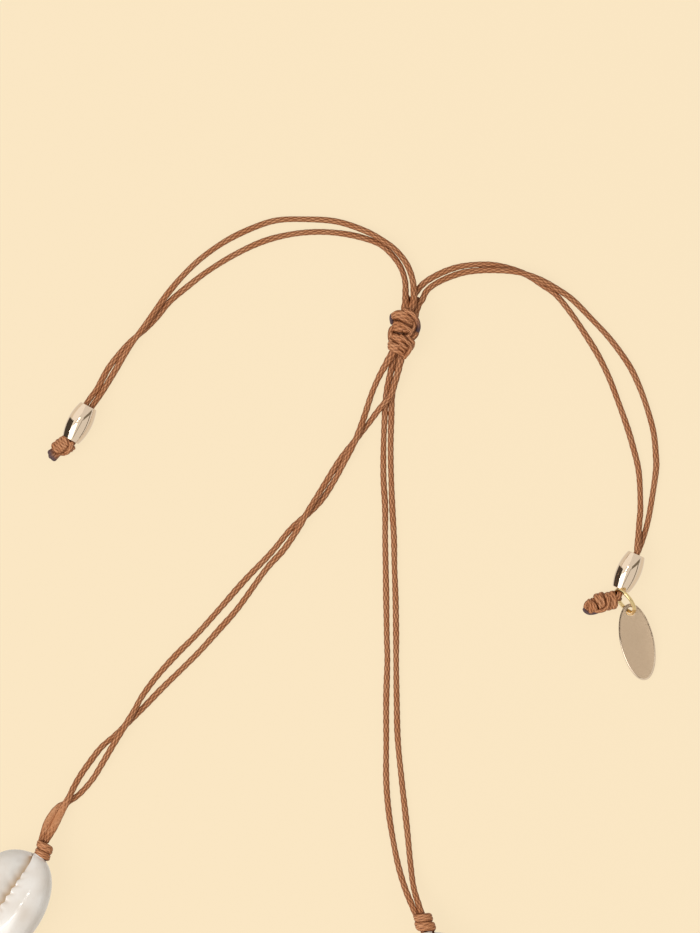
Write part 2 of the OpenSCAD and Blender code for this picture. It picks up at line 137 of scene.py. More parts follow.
RIGHT_STRAND_B = [
    (0.0199, 0.0826, 0.001), (0.0194, 0.0796, 0.0007), (0.0186, 0.0764, 0.0005), (0.0184, 0.072, 0.0005),
    (0.0183, 0.0666, 0.0005), (0.0184, 0.0612, 0.0005), (0.0186, 0.0558, 0.0005), (0.0189, 0.0504, 0.0005),
    (0.019, 0.0451, 0.0005), (0.0192, 0.0391, 0.0005), (0.0193, 0.0322, 0.0005), (0.0193, 0.0282, 0.0005),
    (0.0194, 0.0209, 0.0005), (0.0196, 0.0137, 0.0005), (0.0203, 0.0064, 0.0005), (0.0209, 0.001, 0.0005),
    (0.0214, -0.0037, 0.0006), (0.0219, -0.0088, 0.0012), (0.0225, -0.0132, 0.0024), (0.0236, -0.0169, 0.0039)]

# Each free strand: its route, its length in metres, what is on its far end, and the pieces that it carries
STRANDS = {
    "left_tail_a": (LEFT_TAIL_A, 0.091, "knot", ["left_bead", "left_end_knot"]),
    "left_tail_b": (LEFT_TAIL_B, 0.087, "knot", ["left_bead", "left_end_knot"]),
    "right_tail_a": (RIGHT_TAIL_A, 0.0925, "knot", ["right_bead", "right_end_knot", "jump_ring", "tag"]),
    "right_tail_b": (RIGHT_TAIL_B, 0.094, "knot", ["right_bead", "right_end_knot", "jump_ring", "tag"]),
    "left_strand_a": (LEFT_STRAND_A, 0.1095, "object", []),
    "left_strand_b": (LEFT_STRAND_B, 0.11, "object", []),
    "right_strand_a": (RIGHT_STRAND_A, 0.101, "object", []),
    "right_strand_b": (RIGHT_STRAND_B, 0.1005, "object", []),
}

# The steps along a cord's line, and how far a strand runs on into the sliding knot and past its route's end,
# in mm
CORD_STEP = 0.15
KNOT_REACH = (2.2, 1.2)
# How much wider the sliding knot's grip makes each half of a strand, and how soon that fades, in mm
GRIP_SPREAD = 0.13
GRIP_FADE = 1.6
# How far the sliding knot pushes a strand sideways, how far outside the knot and over what length, in mm
PUSHED = {"right_tail_b": 0.45}
PUSH_PLACE = 1.8
PUSH_FADE = 1.3
# The band that two strands are pressed into before the first shell's knot, in mm: how far sideways each is
# pushed, how far from the strand's end it starts, how long it is, and how much wider it makes half a strand
PRESSED = {"left_strand_a": 0.18, "left_strand_b": -0.42}
BAND_START = 0.6
BAND_LENGTH = 9.2
BAND_SPREAD = 0.28
# How much wider than round a strand lies: all along it, and on top of that where it isn't in that band
FLATTENED = 0.02
FLATTENED_LOOSE = 0.07

# The braid: strands that run each way round the cord, and sides of the tube that shows them
BRAID_STRANDS = 6
BRAID_SIDES = 24

# A cord in a knot: half its thickness where it is pulled tight, in mm, how far the pull flattens its braid,
# and how much painted shade darkens its side under the next winding, its open side (and both sides of a free
# strand), and a cord deep inside the knot
TIGHT_RADIUS = 0.48
TIGHT_PULL = 0.35
COVERED_SIDE_SHADE = 0.78
OPEN_SIDE_SHADE = 0.4
INNER_SHADE = 0.72
# Creases that are pressed into the knots and darkened with painted shade, in mm
CREASE_WIDTH = 0.13
CREASE_DEPTH = 0.15
CREASE_STEP = 0.08

# Places of single pieces, as in the frame: x and y in mm, and heading in degrees
PLACES = {
    "left_end_knot": (-40.1, 67.7, -139),
    "right_end_knot": (58.4, 38.8, 197),
    "left_bead": (-38.2, 71.25, -118),
    "right_bead": (61.5, 44.25, -114.5),
    "jump_ring": (60.85, 38.95, -52),
    "tag": (63.1, 31.5, -77.6),
}
# How high the end knots and the ring lie, in mm, and how far the ring and the tag lean, in degrees
END_KNOT_HEIGHT = 2
RING_HEIGHT = 2.66
RING_LEAN = 69
TAG_LEAN = 5

# The two threads in the shells, in mm: their height, how far each lies beside the middle and starts from a
# knot's middle, and the steps along them
THREAD_HEIGHT = 4.2
THREAD_ASIDE = 0.56
THREAD_START = 0.6
THREAD_STEP = 0.25

# The chain of shells, as in the frame: places in mm, headings in degrees
SHELL_COUNT = 8
FIRST_KNOT = (-44.6, -6)
LAST_KNOT = (24.5, -19.6)
FIRST_HEADING = -124
FIRST_KNOT_HEADING = -103
LAST_KNOT_HEADING = 108


def linear(colour):
    """A hex colour in sRGB as linear red, green and blue."""
    parts = [int(colour[i:i + 2], 16) / 255 for i in (1, 3, 5)]
    return tuple(c / 12.92 if c <= 0.04045 else ((c + 0.055) / 1.055) ** 2.4 for c in parts)


def length_field(name, description, millimetres):
    """A size of the necklace that its user may change."""
    return bpy.props.FloatProperty(name=name, description=description, default=millimetres * MM, min=0,
                                   precision=5, unit="LENGTH", subtype="DISTANCE")


def colour_field(name, description, colour):
    """A colour of the necklace that its user may change."""
    return bpy.props.FloatVectorProperty(name=name, description=description, default=linear(colour), min=0,
                                         max=1, size=3, subtype="COLOR")


class CordSettings(bpy.types.PropertyGroup):
    """Sizes and colours of the waxed cord"""
    diameter: length_field("Diameter", "Diameter of the round cord", 1.0)
    braid_repeat: length_field("Braid Repeat", "Length of one crossing of the braid along the cord", 1.6)
    braid_relief: length_field("Braid Relief", "Depth of the crevices between the braid's strands", 0.08)
    colour: colour_field("Cord", "Colour of the waxed fibres", "#BB7344")
    # Painted highlight on the braid's crowns, paler in random patches where the wax is thin
    highlight_and_thin_wax_colour: colour_field("Worn Cord", "Colour of the fibres that the wax has left", "#F6C99E")
    # Painted shade in the braid's crevices, along the cords' sides and inside knots, and the colour of random
    # dark fibres
    shade_and_dark_fibre_colour: colour_field("Crevices", "Colour between the braid's strands", "#4E230B")
    burnt_colour: colour_field("Melted End", "Colour of a cord's end that was melted with a flame", "#5C4748")


class ShellSettings(bpy.types.PropertyGroup):
    """Sizes and colours of the cowrie shells"""
    length: length_field("Length", "Length of a shell", 21.9)
    inner_half: length_field("Inner Half", "Half width on the side of the neck", 6.9)
    outer_half: length_field("Outer Half", "Half width on the outer side", 7.6)
    height: length_field("Height", "Height from the dome to the lips", 9.5)
    wall: length_field("Wall", "Thickness of the shell's wall", 1.3)
    slit_width: length_field("Slit", "Width of the slit between the lips", 1.0)
    tooth_pitch: length_field("Tooth Pitch", "Distance from tooth to tooth along a lip", 1.63)
    colour: colour_field("Enamel", "Colour of the shell's glossy enamel", "#EDE6DD")
    blush_colour: colour_field("Blush", "Colour of the enamel's warmer patches", "#D8CABA")
    # Painted shade in the slit, between the teeth and inside, and the colour of random specks
    slit_shade_and_speck_colour: colour_field("Grooves", "Colour between the teeth and in the slit", "#C6A47C")


class MetalSettings(bpy.types.PropertyGroup):
    """Sizes and colours of the beads, the ring and the tag"""
    bead_length: length_field("Bead Length", "Length of a barrel bead", 7.0)
    bead_diameter: length_field("Bead Diameter", "Diameter of a barrel bead at its middle", 4.5)
    bead_end: length_field("Bead End", "Diameter of a barrel bead at its ends", 3.2)
    bead_bore: length_field("Bead Bore", "Diameter of the hole through a barrel bead", 2.3)
    ring_radius: length_field("Ring Radius", "Radius of the jump ring, to the middle of its wire", 2.45)
    ring_wire: length_field("Ring Wire", "Diameter of the jump ring's wire", 0.7)
    tag_length: length_field("Tag Length", "Length of the oval tag", 14.3)
    tag_width: length_field("Tag Width", "Width of the oval tag", 6.2)
    tag_thickness: length_field("Tag Thickness", "Thickness of the oval tag", 0.7)
    tag_hole: length_field("Tag Hole", "Diameter of the hole in the tag", 1.3)
    polished_colour: colour_field("Polished Gold", "Colour of the polished plating", "#EED8BE")
    ring_colour: colour_field("Ring Gold", "Colour of the jump ring's yellower plating", "#E6CC94")
    satin_colour: colour_field("Satin Gold", "Colour of the tag's satin face", "#DCC1A2")


class StageSettings(bpy.types.PropertyGroup):
    """The camera, the floor and the lights"""
    lens: bpy.props.FloatProperty(name="Lens", description="Focal length of the camera", default=0.4, min=0,
                                  unit="LENGTH", subtype="DISTANCE_CAMERA")
    floor_colour: colour_field("Floor", "Colour of the plain floor", "#FBE7C4")
    floor_glow: bpy.props.FloatProperty(name="Floor Glow", description="Share of the floor's light from below",
                                        default=0.9, min=0, max=1, subtype="FACTOR")
    key_radiance: bpy.props.FloatProperty(name="Key Light", description="Brightness of the large soft light",
                                          default=2.9, min=0)
    shine_radiance: bpy.props.FloatProperty(name="Shine", description="Its brightness in reflections",
                                            default=1.7, min=0)
    sky_strength: bpy.props.FloatProperty(name="Sky", description="Strength of the even light all round",
                                          default=0.64, min=0)
    ground_strength: bpy.props.FloatProperty(name="Ground", description="Strength of the light from below",
                                             default=0.42, min=0)
    sky_shine: bpy.props.FloatProperty(name="Sky Shine", description="Strength of that light in reflections",
                                       default=0.8, min=0)


class NecklaceSettings(bpy.types.PropertyGroup):
    """All settings of the necklace"""
    cord: bpy.props.PointerProperty(type=CordSettings, name="Cord", description="The waxed cord")
    shell: bpy.props.PointerProperty(type=ShellSettings, name="Shells", description="The cowrie shells")
    metal: bpy.props.PointerProperty(type=MetalSettings, name="Metal", description="Beads, ring and tag")
    stage: bpy.props.PointerProperty(type=StageSettings, name="Stage", description="Camera, floor and lights")


def settings():
    """The scene's settings for the necklace."""
    return bpy.context.scene.necklace


def direction(heading):
    """The direction of a heading in degrees, as x and y."""
    return np.array([math.cos(math.radians(heading)), math.sin(math.radians(heading))])


def chain():
    """Places of the small knots and headings of the shells between them, on a circle through both ends."""
    span = np.subtract(LAST_KNOT, FIRST_KNOT)
    mean = math.degrees(math.atan2(span[1], span[0]))
    turn = 2 * (mean - FIRST_HEADING) / (SHELL_COUNT - 1)
    pitch = np.hypot(*span) * math.sin(math.radians(turn / 2)) / math.sin(math.radians(SHELL_COUNT * turn / 2))
    headings = [FIRST_HEADING + turn * i for i in range(SHELL_COUNT)]
    knots = [np.array(FIRST_KNOT, float)]
    for heading in headings:
        knots.append(knots[-1] + pitch * direction(heading))
    return knots, headings, pitch


def placed(x=0, y=0, z=0, heading=0):
    """The matrix that puts a piece modelled along +X, in mm, at its place on the floor."""
    return (Matrix.Scale(MM, 4) @ Matrix.Translation((x, y, z))
            @ Matrix.Rotation(math.radians(heading), 4, "Z"))


def node_place(node, height):
    """The matrix that puts a single piece at its node's place, at that height."""
    x, y, heading = PLACES[node]
    return placed(x, y, height, heading)


def mesh_object(name, bm, materials):
    """Makes a bmesh an object of the scene, with its materials."""
    mesh = bpy.data.meshes.new(name)
    bm.to_mesh(mesh)
    bm.free()
    for material in materials:
        mesh.materials.append(material)
    thing = bpy.data.objects.new(name, mesh)
    bpy.context.scene.collection.objects.link(thing)
    return thing


def finish_piece(name, bm, place, materials, nodes, sharp_degrees=None):
    """Makes a bmesh a piece at its place that rides on the necklace's body and stands for its CAD nodes."""
    bmesh.ops.transform(bm, matrix=place, verts=bm.verts)
    bmesh.ops.recalc_face_normals(bm, faces=bm.faces)
    piece = mesh_object(name, bm, materials)
    piece.data.shade_smooth()
    if sharp_degrees:
        piece.data.set_sharp_from_angle(angle=math.radians(sharp_degrees))
    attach(piece, BODY)
    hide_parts(*nodes)


def rolled_grid(bm, points, uv_size, values):
    """Adds a tube: a grid with a column for each ring of points, rolled up and welded at seam and poles."""
    rings, around = points.shape[:2]
    uv = bm.loops.layers.uv.verify()
    layers = {key: bm.verts.layers.float.get(key) or bm.verts.layers.float.new(key) for key in values}
    grid = bmesh.ops.create_grid(bm, x_segments=rings - 1, y_segments=around, size=1, calc_uvs=True)["verts"]
    rims = []
    for vert in grid:
        i = round((vert.co.x + 1) / 2 * (rings - 1))
        j = round((vert.co.y + 1) / 2 * around)
        if i in (0, rings - 1) or j in (0, around):
            rims.append(vert)
        vert.co = points[i, j % around]
        for key, layer in layers.items():
            vert[layer] = values[key][i, j % around]
    for face in {f for vert in grid for f in vert.link_faces}:
        for loop in face.loops:
            loop[uv].uv = (loop[uv].uv[0] * uv_size[0], loop[uv].uv[1] * uv_size[1])
    bmesh.ops.remove_doubles(bm, verts=rims, dist=1e-4)


def through(points, steps=12):
    """A smooth curve through a row of points."""
    p = np.array(points, float)
    p = np.vstack([2 * p[0] - p[1], p, 2 * p[-1] - p[-2]])
    t = np.arange(steps)[:, None] / steps
    spans = []
    for a, b, c, d in zip(p, p[1:], p[2:], p[3:]):
        square = 2 * a - 5 * b + 4 * c - d
        cube = 3 * b - a - 3 * c + d
        spans.append(0.5 * (2 * b + (c - a) * t + square * t ** 2 + cube * t ** 3))
    return np.vstack(spans + [p[-2:-1]])


def evenly(line, step):
    """The same line with its points one step apart."""
    along = np.concatenate([[0], np.cumsum(np.linalg.norm(np.diff(line[:, :3], axis=0), axis=1))])
    at = np.linspace(0, along[-1], max(4, round(along[-1] / step)) + 1)
    return np.stack([np.interp(at, along, column) for column in line.T], axis=1)


def unit(vectors):
    """Vectors with a length of one."""
    return vectors / np.linalg.norm(vectors, axis=-1, keepdims=True)


def across(line, outward=None):
    """Directions sideways and outward at each point of a line. Without outward they are carried along it."""
    ways = unit(np.gradient(line, axis=0))
    if outward is None:
        carried = np.array([0.0, 0.0, 1.0])
        outward = []
        for way in ways:
            carried = unit(carried - way * (carried @ way))
            outward.append(carried)
    outward = np.array(outward)
    outward = unit(outward - ways * (outward * ways).sum(1)[:, None])
    return np.cross(ways, outward), outward


def braid_height(along, turn):
    """Height of a round braid's surface, from 0 in a crevice to 1 on a strand."""
    p = BRAID_STRANDS * turn / FULL_TURN + along
    q = BRAID_STRANDS * turn / FULL_TURN - along
    one = np.abs(np.sin(np.pi * p)) + 0.6 * np.sin(np.pi * q) * np.cos(np.pi * np.floor(p))
    other = np.abs(np.sin(np.pi * q)) - 0.6 * np.sin(np.pi * p) * np.cos(np.pi * np.floor(q))
    return np.maximum(one, other) / 1.6


def add_cord(bm, line, half_width, half_depth, outward=None, melted=(0, 0), sides=BRAID_SIDES, shade=0.0,
             pulled=0.0, side_shade=(0, 0)):
    """Adds a braided cord along an even line in mm, with rounded ends. Melted is how far each end is burnt,
    in mm: there the cord is dark, smooth and a little thick. Shade is painted shade that darkens a cord lying
    inside a knot. Pulled is how far tension and wax have flattened the braid, and the last argument is how
    much painted shade darkens each side, where the next winding lies on it or where it lies open, all from 0
    to 1. The braid's crevices are painted darker than its crowns."""
    cord = settings().cord
    step = np.linalg.norm(line[1] - line[0])
    length = step * (len(line) - 1)
    along = np.linspace(0, length, len(line))
    side, outward = across(line, outward)
    turn = np.arange(sides) / sides * FULL_TURN
    height = braid_height(along[:, None] / (cord.braid_repeat / MM), turn[None])
    half_width, half_depth = np.broadcast_to(half_width, len(line)), np.broadcast_to(half_depth, len(line))
    # A melted end is burnt through for 0.6 of its reach, which fades out by 1.6 of it.
    scorch = np.zeros(len(line))
    for reach, distance in zip(melted, (along, length - along)):
        if reach:
            scorch = np.maximum(scorch, np.clip(1.6 - distance / reach, 0, 1))
    near_end = np.clip(np.minimum(along, length - along) / half_depth, 0, 1)
    roundness = np.sqrt(1 - (1 - near_end) ** 2) * (1 + 0.1 * scorch)
    pulled = np.broadcast_to(pulled, len(line))
    relief = cord.braid_relief / MM * (1 - 0.75 * scorch) * (1 - 0.7 * pulled)
    swell = roundness[:, None] * (1 + relief[:, None] * (height - 0.7) / 0.5)
    points = (line[:, None]
              + (swell * half_width[:, None] * np.cos(turn))[:, :, None] * side[:, None]
              + (swell * half_depth[:, None] * np.sin(turn))[:, :, None] * outward[:, None])
    # Painted shade: a side darker under the next winding or where it lies open, a whole cord darker inside a
    # knot, and the braid's crevices darker than its crowns
    painted_side_shade = np.where(np.cos(turn) < 0, side_shade[0], side_shade[1]) * np.cos(turn) ** 4
    crevice = np.maximum((1 - height) * (1 - 0.7 * pulled[:, None]), np.maximum(shade, painted_side_shade[None]))
    values = {"crevice": crevice, "burnt": np.repeat(scorch[:, None], sides, axis=1)}
    rolled_grid(bm, points, (length, FULL_TURN * float(half_width.mean())), values)


def node_in(tree, kind, inputs=None, **settings_of):
    """Adds a node with its settings, and its inputs as values or as links from other nodes' sockets."""
    node = tree.nodes.new(kind)
    for key, value in settings_of.items():
        setattr(node, key, value)
    for key, value in (inputs or {}).items():
        if isinstance(value, bpy.types.NodeSocket):
            tree.links.new(value, node.inputs[key])
        else:
            node.inputs[key].default_value = value
    return node


def new_material(name):
    """An empty material with its output and shader, and its node tree."""
    material = bpy.data.materials.new(name)
    material.use_nodes = True
    tree = material.node_tree
    tree.nodes.clear()
    shader = node_in(tree, "ShaderNodeBsdfPrincipled")
    node_in(tree, "ShaderNodeOutputMaterial", {"Surface": shader.outputs["BSDF"]})
    return material, tree, shader


def solid(colour):
    """A colour with its alpha, as a socket takes it."""
    return (*colour, 1.0)


def waxed_cord_material():
    """Waxed polyester cord, braided and drawn through hot wax: fibres that shine softly along the cord, painted
    shade in its crevices, along its sides and inside knots, painted highlights on the braid's crowns, paler
    places where the wax is thin, and ends melted to a dark bead."""
    cord = settings().cord
    material, tree, shader = new_material("waxed_braided_polyester")
    uv = node_in(tree, "ShaderNodeUVMap", uv_map="UVMap")
    place = node_in(tree, "ShaderNodeTexCoord")
    crevice = node_in(tree, "ShaderNodeAttribute", attribute_name="crevice")
    burnt = node_in(tree, "ShaderNodeAttribute", attribute_name="burnt")
    # Yarns of fibre lie a little aslant along the cord, and the UV map is in mm. The real ones are 0.1 mm
    # wide, too fine to show, so they are drawn 0.35 mm wide.
    slanted = node_in(tree, "ShaderNodeMapping", {"Vector": uv.outputs["UV"], "Rotation": (0.0, 0.0, 0.33)})
    stretched = node_in(tree, "ShaderNodeMapping", {"Vector": slanted.outputs["Vector"],
                                                    "Scale": (0.7, 2.9, 1.0)})
    fibres = node_in(tree, "ShaderNodeTexNoise", {"Vector": stretched.outputs["Vector"], "Scale": 1.0,
                                                  "Detail": 2.0, "Roughness": 0.55})
    # Wax lies unevenly, in patches 2 to 3 mm across.
    patches = node_in(tree, "ShaderNodeTexNoise", {"Vector": place.outputs["Object"], "Scale": 420.0,
                                                   "Detail": 4.0, "Roughness": 0.65})
    thin_wax = node_in(tree, "ShaderNodeMapRange", {"Value": patches.outputs["Fac"], "From Min": 0.38,
                                                    "From Max": 0.66, "To Min": 0.45, "To Max": 1.0})
    pale_fibre = node_in(tree, "ShaderNodeMapRange", {"Value": fibres.outputs["Fac"], "From Min": 0.46,
                                                      "From Max": 0.56, "To Min": 0.0, "To Max": 1.0})
    dark_fibre = node_in(tree, "ShaderNodeMapRange", {"Value": fibres.outputs["Fac"], "From Min": 0.4,
                                                      "From Max": 0.5, "To Min": 0.95, "To Max": 0.0})
    # Painted highlight: the crowns of the braid's strands are drawn paler, on random pale fibres and where the
    # wax is thin.
    crown = node_in(tree, "ShaderNodeMapRange", {"Value": crevice.outputs["Fac"], "From Min": 0.0,
                                                 "From Max": 0.5, "To Min": 1.0, "To Max": 0.4})
    crown_highlight = node_in(tree, "ShaderNodeMath", {0: crown.outputs["Result"], 1: pale_fibre.outputs["Result"]},
                     operation="MULTIPLY")
    light = node_in(tree, "ShaderNodeMath", {0: crown_highlight.outputs["Value"], 1: thin_wax.outputs["Result"]},
                    operation="MULTIPLY")
    base = node_in(tree, "ShaderNodeMix", {"Factor": light.outputs["Value"], "A": solid(cord.colour),
                                           "B": solid(cord.highlight_and_thin_wax_colour)}, data_type="RGBA")
    # Painted shade darkens the crevices, more in one place than in another. Random dark fibres take the same
    # colour.
    crevice_shading = node_in(tree, "ShaderNodeMapRange", {"Value": crevice.outputs["Fac"], "From Min": 0.15,
                                                    "From Max": 0.48, "To Min": 0.0, "To Max": 0.95})
    uneven = node_in(tree, "ShaderNodeMapRange", {"Value": fibres.outputs["Fac"], "From Min": 0.42,
                                                  "From Max": 0.6, "To Min": 1.0, "To Max": 0.3})
    crevice_shade = node_in(tree, "ShaderNodeMath", {0: crevice_shading.outputs["Result"], 1: uneven.outputs["Result"]},
                   operation="MULTIPLY")
    # Painted shade, darkest in the deepest crevices and the pressed creases
    hollow = node_in(tree, "ShaderNodeMapRange", {"Value": crevice.outputs["Fac"], "From Min": 0.8,
                                                  "From Max": 0.9, "To Min": 0.0, "To Max": 0.95})
    deep = node_in(tree, "ShaderNodeMath", {0: crevice_shade.outputs["Value"], 1: dark_fibre.outputs["Result"]},
                   operation="MAXIMUM")
    deepest = node_in(tree, "ShaderNodeMath", {0: deep.outputs["Value"], 1: hollow.outputs["Result"]},
                      operation="MAXIMUM")
    shaded = node_in(tree, "ShaderNodeMix", {"Factor": deepest.outputs["Value"],
                                             "A": base.outputs["Result"],
                                             "B": solid(cord.shade_and_dark_fibre_colour)}, data_type="RGBA")
    charred = node_in(tree, "ShaderNodeMix", {"Factor": burnt.outputs["Fac"], "A": shaded.outputs["Result"],
                                              "B": solid(cord.burnt_colour)}, data_type="RGBA")
    bump = node_in(tree, "ShaderNodeBump", {"Height": fibres.outputs["Fac"], "Strength": 0.5,
                                            "Distance": 0.00008})
    gloss = node_in(tree, "ShaderNodeMapRange", {"Value": patches.outputs["Fac"], "From Min": 0.3,
                                                 "From Max": 0.7, "To Min": 0.4, "To Max": 0.6})
    tree.links.new(charred.outputs["Result"], shader.inputs["Base Color"])
    tree.links.new(gloss.outputs["Result"], shader.inputs["Roughness"])
    tree.links.new(bump.outputs["Normal"], shader.inputs["Normal"])
    shader.inputs["Specular IOR Level"].default_value = 0.15
    return material


def material_named(name, make):
    """The material of that name, made once."""
    return bpy.data.materials.get(name) or make()


def cord_material():
    """The waxed cord's material, which every cord and knot shares."""
    return material_named("waxed_braided_polyester", waxed_cord_material)


class NECKLACE_OT_camera(bpy.types.Operator):
    """Places the camera straight above the part of the necklace that the photograph shows"""
    bl_idname = "necklace.camera"
    bl_label = "Camera"

    def execute(self, context):
        data = bpy.data.cameras.new("camera")
        data.lens = settings().stage.lens / MM
        data.sensor_width = SENSOR_WIDTH
        shown_height = PHOTO_HEIGHT / PIXELS_A_MM * MM
        distance = shown_height * data.lens / data.sensor_width
        data.clip_start, data.clip_end = 0.01, 100.0
        camera = bpy.data.objects.new("camera", data)
        camera.location = (*PHOTO_MIDDLE, distance)
        context.scene.collection.objects.link(camera)
        context.scene.camera = camera
        return {"FINISHED"}


class NECKLACE_OT_strands(bpy.types.Operator):
    """Lays the eight free strands of cord along their routes, from knot to knot"""
    bl_idname = "necklace.strands"
    bl_label = "Strands"

    def execute(self, context):
        radius = settings().cord.diameter / MM / 2
        for name, (route, *_) in STRANDS.items():
            route = np.array(route) / MM
            line = through(route)
            line[:, 2] = np.maximum(line[:, 2], radius)
            first, last = unit(line[0] - line[3]), unit(line[-1] - line[-4])
            line = np.vstack([line[0] + KNOT_REACH[0] * first, line, line[-1] + KNOT_REACH[1] * last])
            line = evenly(line, CORD_STEP)
            from_knot = np.arange(len(line)) * CORD_STEP - KNOT_REACH[0]
            from_end = np.arange(len(line))[::-1] * CORD_STEP
            half_width = radius + GRIP_SPREAD * np.exp(-np.maximum(0, from_knot) / GRIP_FADE)
            press = 0
            if name in PRESSED:
                press = np.sin(np.pi * np.clip((from_end - BAND_START) / BAND_LENGTH, 0, 1)) ** 0.8
                half_width = half_width + BAND_SPREAD * press
                line[:, 0] += PRESSED[name] * press
            line[:, 0] += PUSHED.get(name, 0) * np.exp(-((from_knot - PUSH_PLACE) / PUSH_FADE) ** 2)
            # Handling has pressed the cord a little flatter in one place than in another.
            uneven = 0.05 * np.sin(from_knot / 2.9 + 10 * route[0, 0]) + 0.02 * np.sin(from_knot / 1.3)
            half_width = half_width * (1 + FLATTENED + FLATTENED_LOOSE * (1 - press) + uneven)
            bm = bmesh.new()
            # Both sides of a free strand are darkened with painted shade.
            add_cord(bm, line, half_width, radius, pulled=press, side_shade=(OPEN_SIDE_SHADE, OPEN_SIDE_SHADE))
            finish_piece(name + "_braid", bm, placed(), [cord_material()], [name])
        return {"FINISHED"}


# The piece that stands for each node that a strand carries
STANDS_FOR = {
    "left_bead": "left_barrel_bead",
    "right_bead": "right_barrel_bead",
    "left_end_knot": "left_tied_end",
    "right_end_knot": "right_tied_end",
    "jump_ring": "cut_jump_ring",
    "tag": "oval_tag",
}


def wound_line(rows):
    """A cord's line wound round +X, its outward directions and half the height of the band that the doubled
    cord makes. A row is turn in degrees, distance, radius and that half height."""
    rows = through(rows, 24)
    turn = np.radians(rows[:, 0])
    line = np.stack([rows[:, 1], rows[:, 2] * np.cos(turn), rows[:, 2] * np.sin(turn)], axis=1)
    outward = np.stack([0 * turn, np.cos(turn), np.sin(turn)], axis=1)
    both = evenly(np.hstack([line, outward, rows[:, 3:]]), CORD_STEP)
    return both[:, :3], both[:, 3:6], both[:, 6]


def add_pair(bm, line, outward, band, apart, melted=(0, 0)):
    """Adds two cords side by side along one line, which together are twice band high. Apart is 1 for two
    round cords and less where wax and tension press them into one flat band."""
    side, outward = across(line, outward)
    offset = band * 0.5 * apart
    half_width = band - offset
    # Painted shade: each cord darker on its outer side, where the next winding lies, and less by its partner
    for sign, side_shade in ((-1, (COVERED_SIDE_SHADE, OPEN_SIDE_SHADE)), (1, (OPEN_SIDE_SHADE, COVERED_SIDE_SHADE))):
        path = line + sign * offset[:, None] * side
        add_cord(bm, path, half_width, TIGHT_RADIUS, outward, melted, pulled=TIGHT_PULL, side_shade=side_shade)


def add_strands(bm, strands):
    """Adds single cords: half thickness, how far each end is melted, and points, all in mm."""
    for thick, melted, points in strands:
        # Painted shade darkens both sides of these cords.
        add_cord(bm, evenly(through(points), CORD_STEP), thick, thick, melted=melted, pulled=TIGHT_PULL,
                 side_shade=(COVERED_SIDE_SHADE, COVERED_SIDE_SHADE))


def press_shaded_creases(bm, creases, middle):
    """Presses creases into a knot's upper side, above its middle height, and darkens them with painted
    shade. A crease is points in plan.
    """
    layer = bm.verts.layers.float["crevice"]
    places = np.array([vert.co for vert in bm.verts])
    for points in creases:
        line = evenly(through(points), CREASE_STEP)
        apart = np.linalg.norm(places[:, None, :2] - line[None], axis=2).min(axis=1)
        depth = np.exp(-(apart / CREASE_WIDTH) ** 2) * (places[:, 2] > middle)
        for vert, share in zip(bm.verts, depth):
            vert[layer] = max(vert[layer], share)
            vert.co.z -= CREASE_DEPTH * share


# Windings of the doubled cord in the knots: turn in degrees (90 is up), distance along the knot, radius and
# half of the band's height, in mm
SMALL_KNOT_TURNS = [
    (265, -2.1, 0.2, 0.6), (225, -1.45, 0.55, 0.65), (185, -0.85, 1.0, 0.7), (140, -0.65, 1.12, 0.75),
    (90, -0.4, 1.15, 0.78), (45, -0.15, 1.18, 0.78), (0, 0.1, 1.16, 0.75), (-45, 0.25, 1.1, 0.7),
    (-90, 0.35, 1.08, 0.7), (-135, 0.5, 1.06, 0.7), (-180, 0.72, 1.04, 0.7), (-225, 0.86, 1.08, 0.7),
    (-270, 1.05, 1.1, 0.68), (-315, 1.25, 1.1, 0.66), (-360, 1.4, 0.98, 0.64), (-410, 1.5, 0.75, 0.6),
    (-455, 1.7, 0.45, 0.55), (-475, 2.1, 0.25, 0.5)]
LAST_KNOT_SIZE = 1.14

LEFT_END_TURNS = [
    (245, -1.0, 0.4, 0.6), (195, -0.15, 1.15, 0.8), (150, 0.45, 1.42, 0.95), (90, 0.6, 1.38, 0.95),
    (35, 0.4, 1.25, 0.75), (-30, 0.35, 1.12, 0.65), (-90, 0.65, 1.15, 0.75), (-150, 1.4, 1.35, 0.85),
    (-195, 1.9, 1.5, 0.95), (-230, 2.15, 1.48, 0.95), (-270, 2.1, 1.35, 0.9), (-310, 1.8, 1.1, 0.75),
    (-350, 1.65, 0.8, 0.6), (-420, 2.1, 0.75, 0.6), (-500, 2.4, 0.6, 0.55), (-560, 2.4, 0.4, 0.5)]
RIGHT_END_TURNS = [
    (250, -2.0, 0.3, 0.6), (215, -1.0, 0.9, 0.85), (180, -0.15, 1.42, 1.08), (135, -0.05, 1.55, 1.1),
    (90, -0.1, 1.45, 1.05), (40, 0.1, 1.15, 0.95), (0, 0.4, 0.95, 0.85), (-90, 1.1, 1.1, 0.8),
    (-150, 1.75, 1.55, 0.95), (-180, 1.85, 1.8, 1.05), (-225, 1.9, 1.85, 1.0), (-265, 1.75, 1.55, 0.85),
    (-310, 1.8, 1.1, 0.75), (-360, 2.1, 0.9, 0.7), (-450, 3.0, 0.9, 0.7), (-520, 3.5, 1.2, 0.75),
    (-560, 3.5, 1.28, 0.8), (-600, 3.5, 1.25, 0.85), (-640, 3.6, 1.1, 0.9), (-680, 3.7, 0.9, 0.9),
    (-720, 3.7, 0.62, 0.8), (-770, 3.7, 0.4, 0.6)]

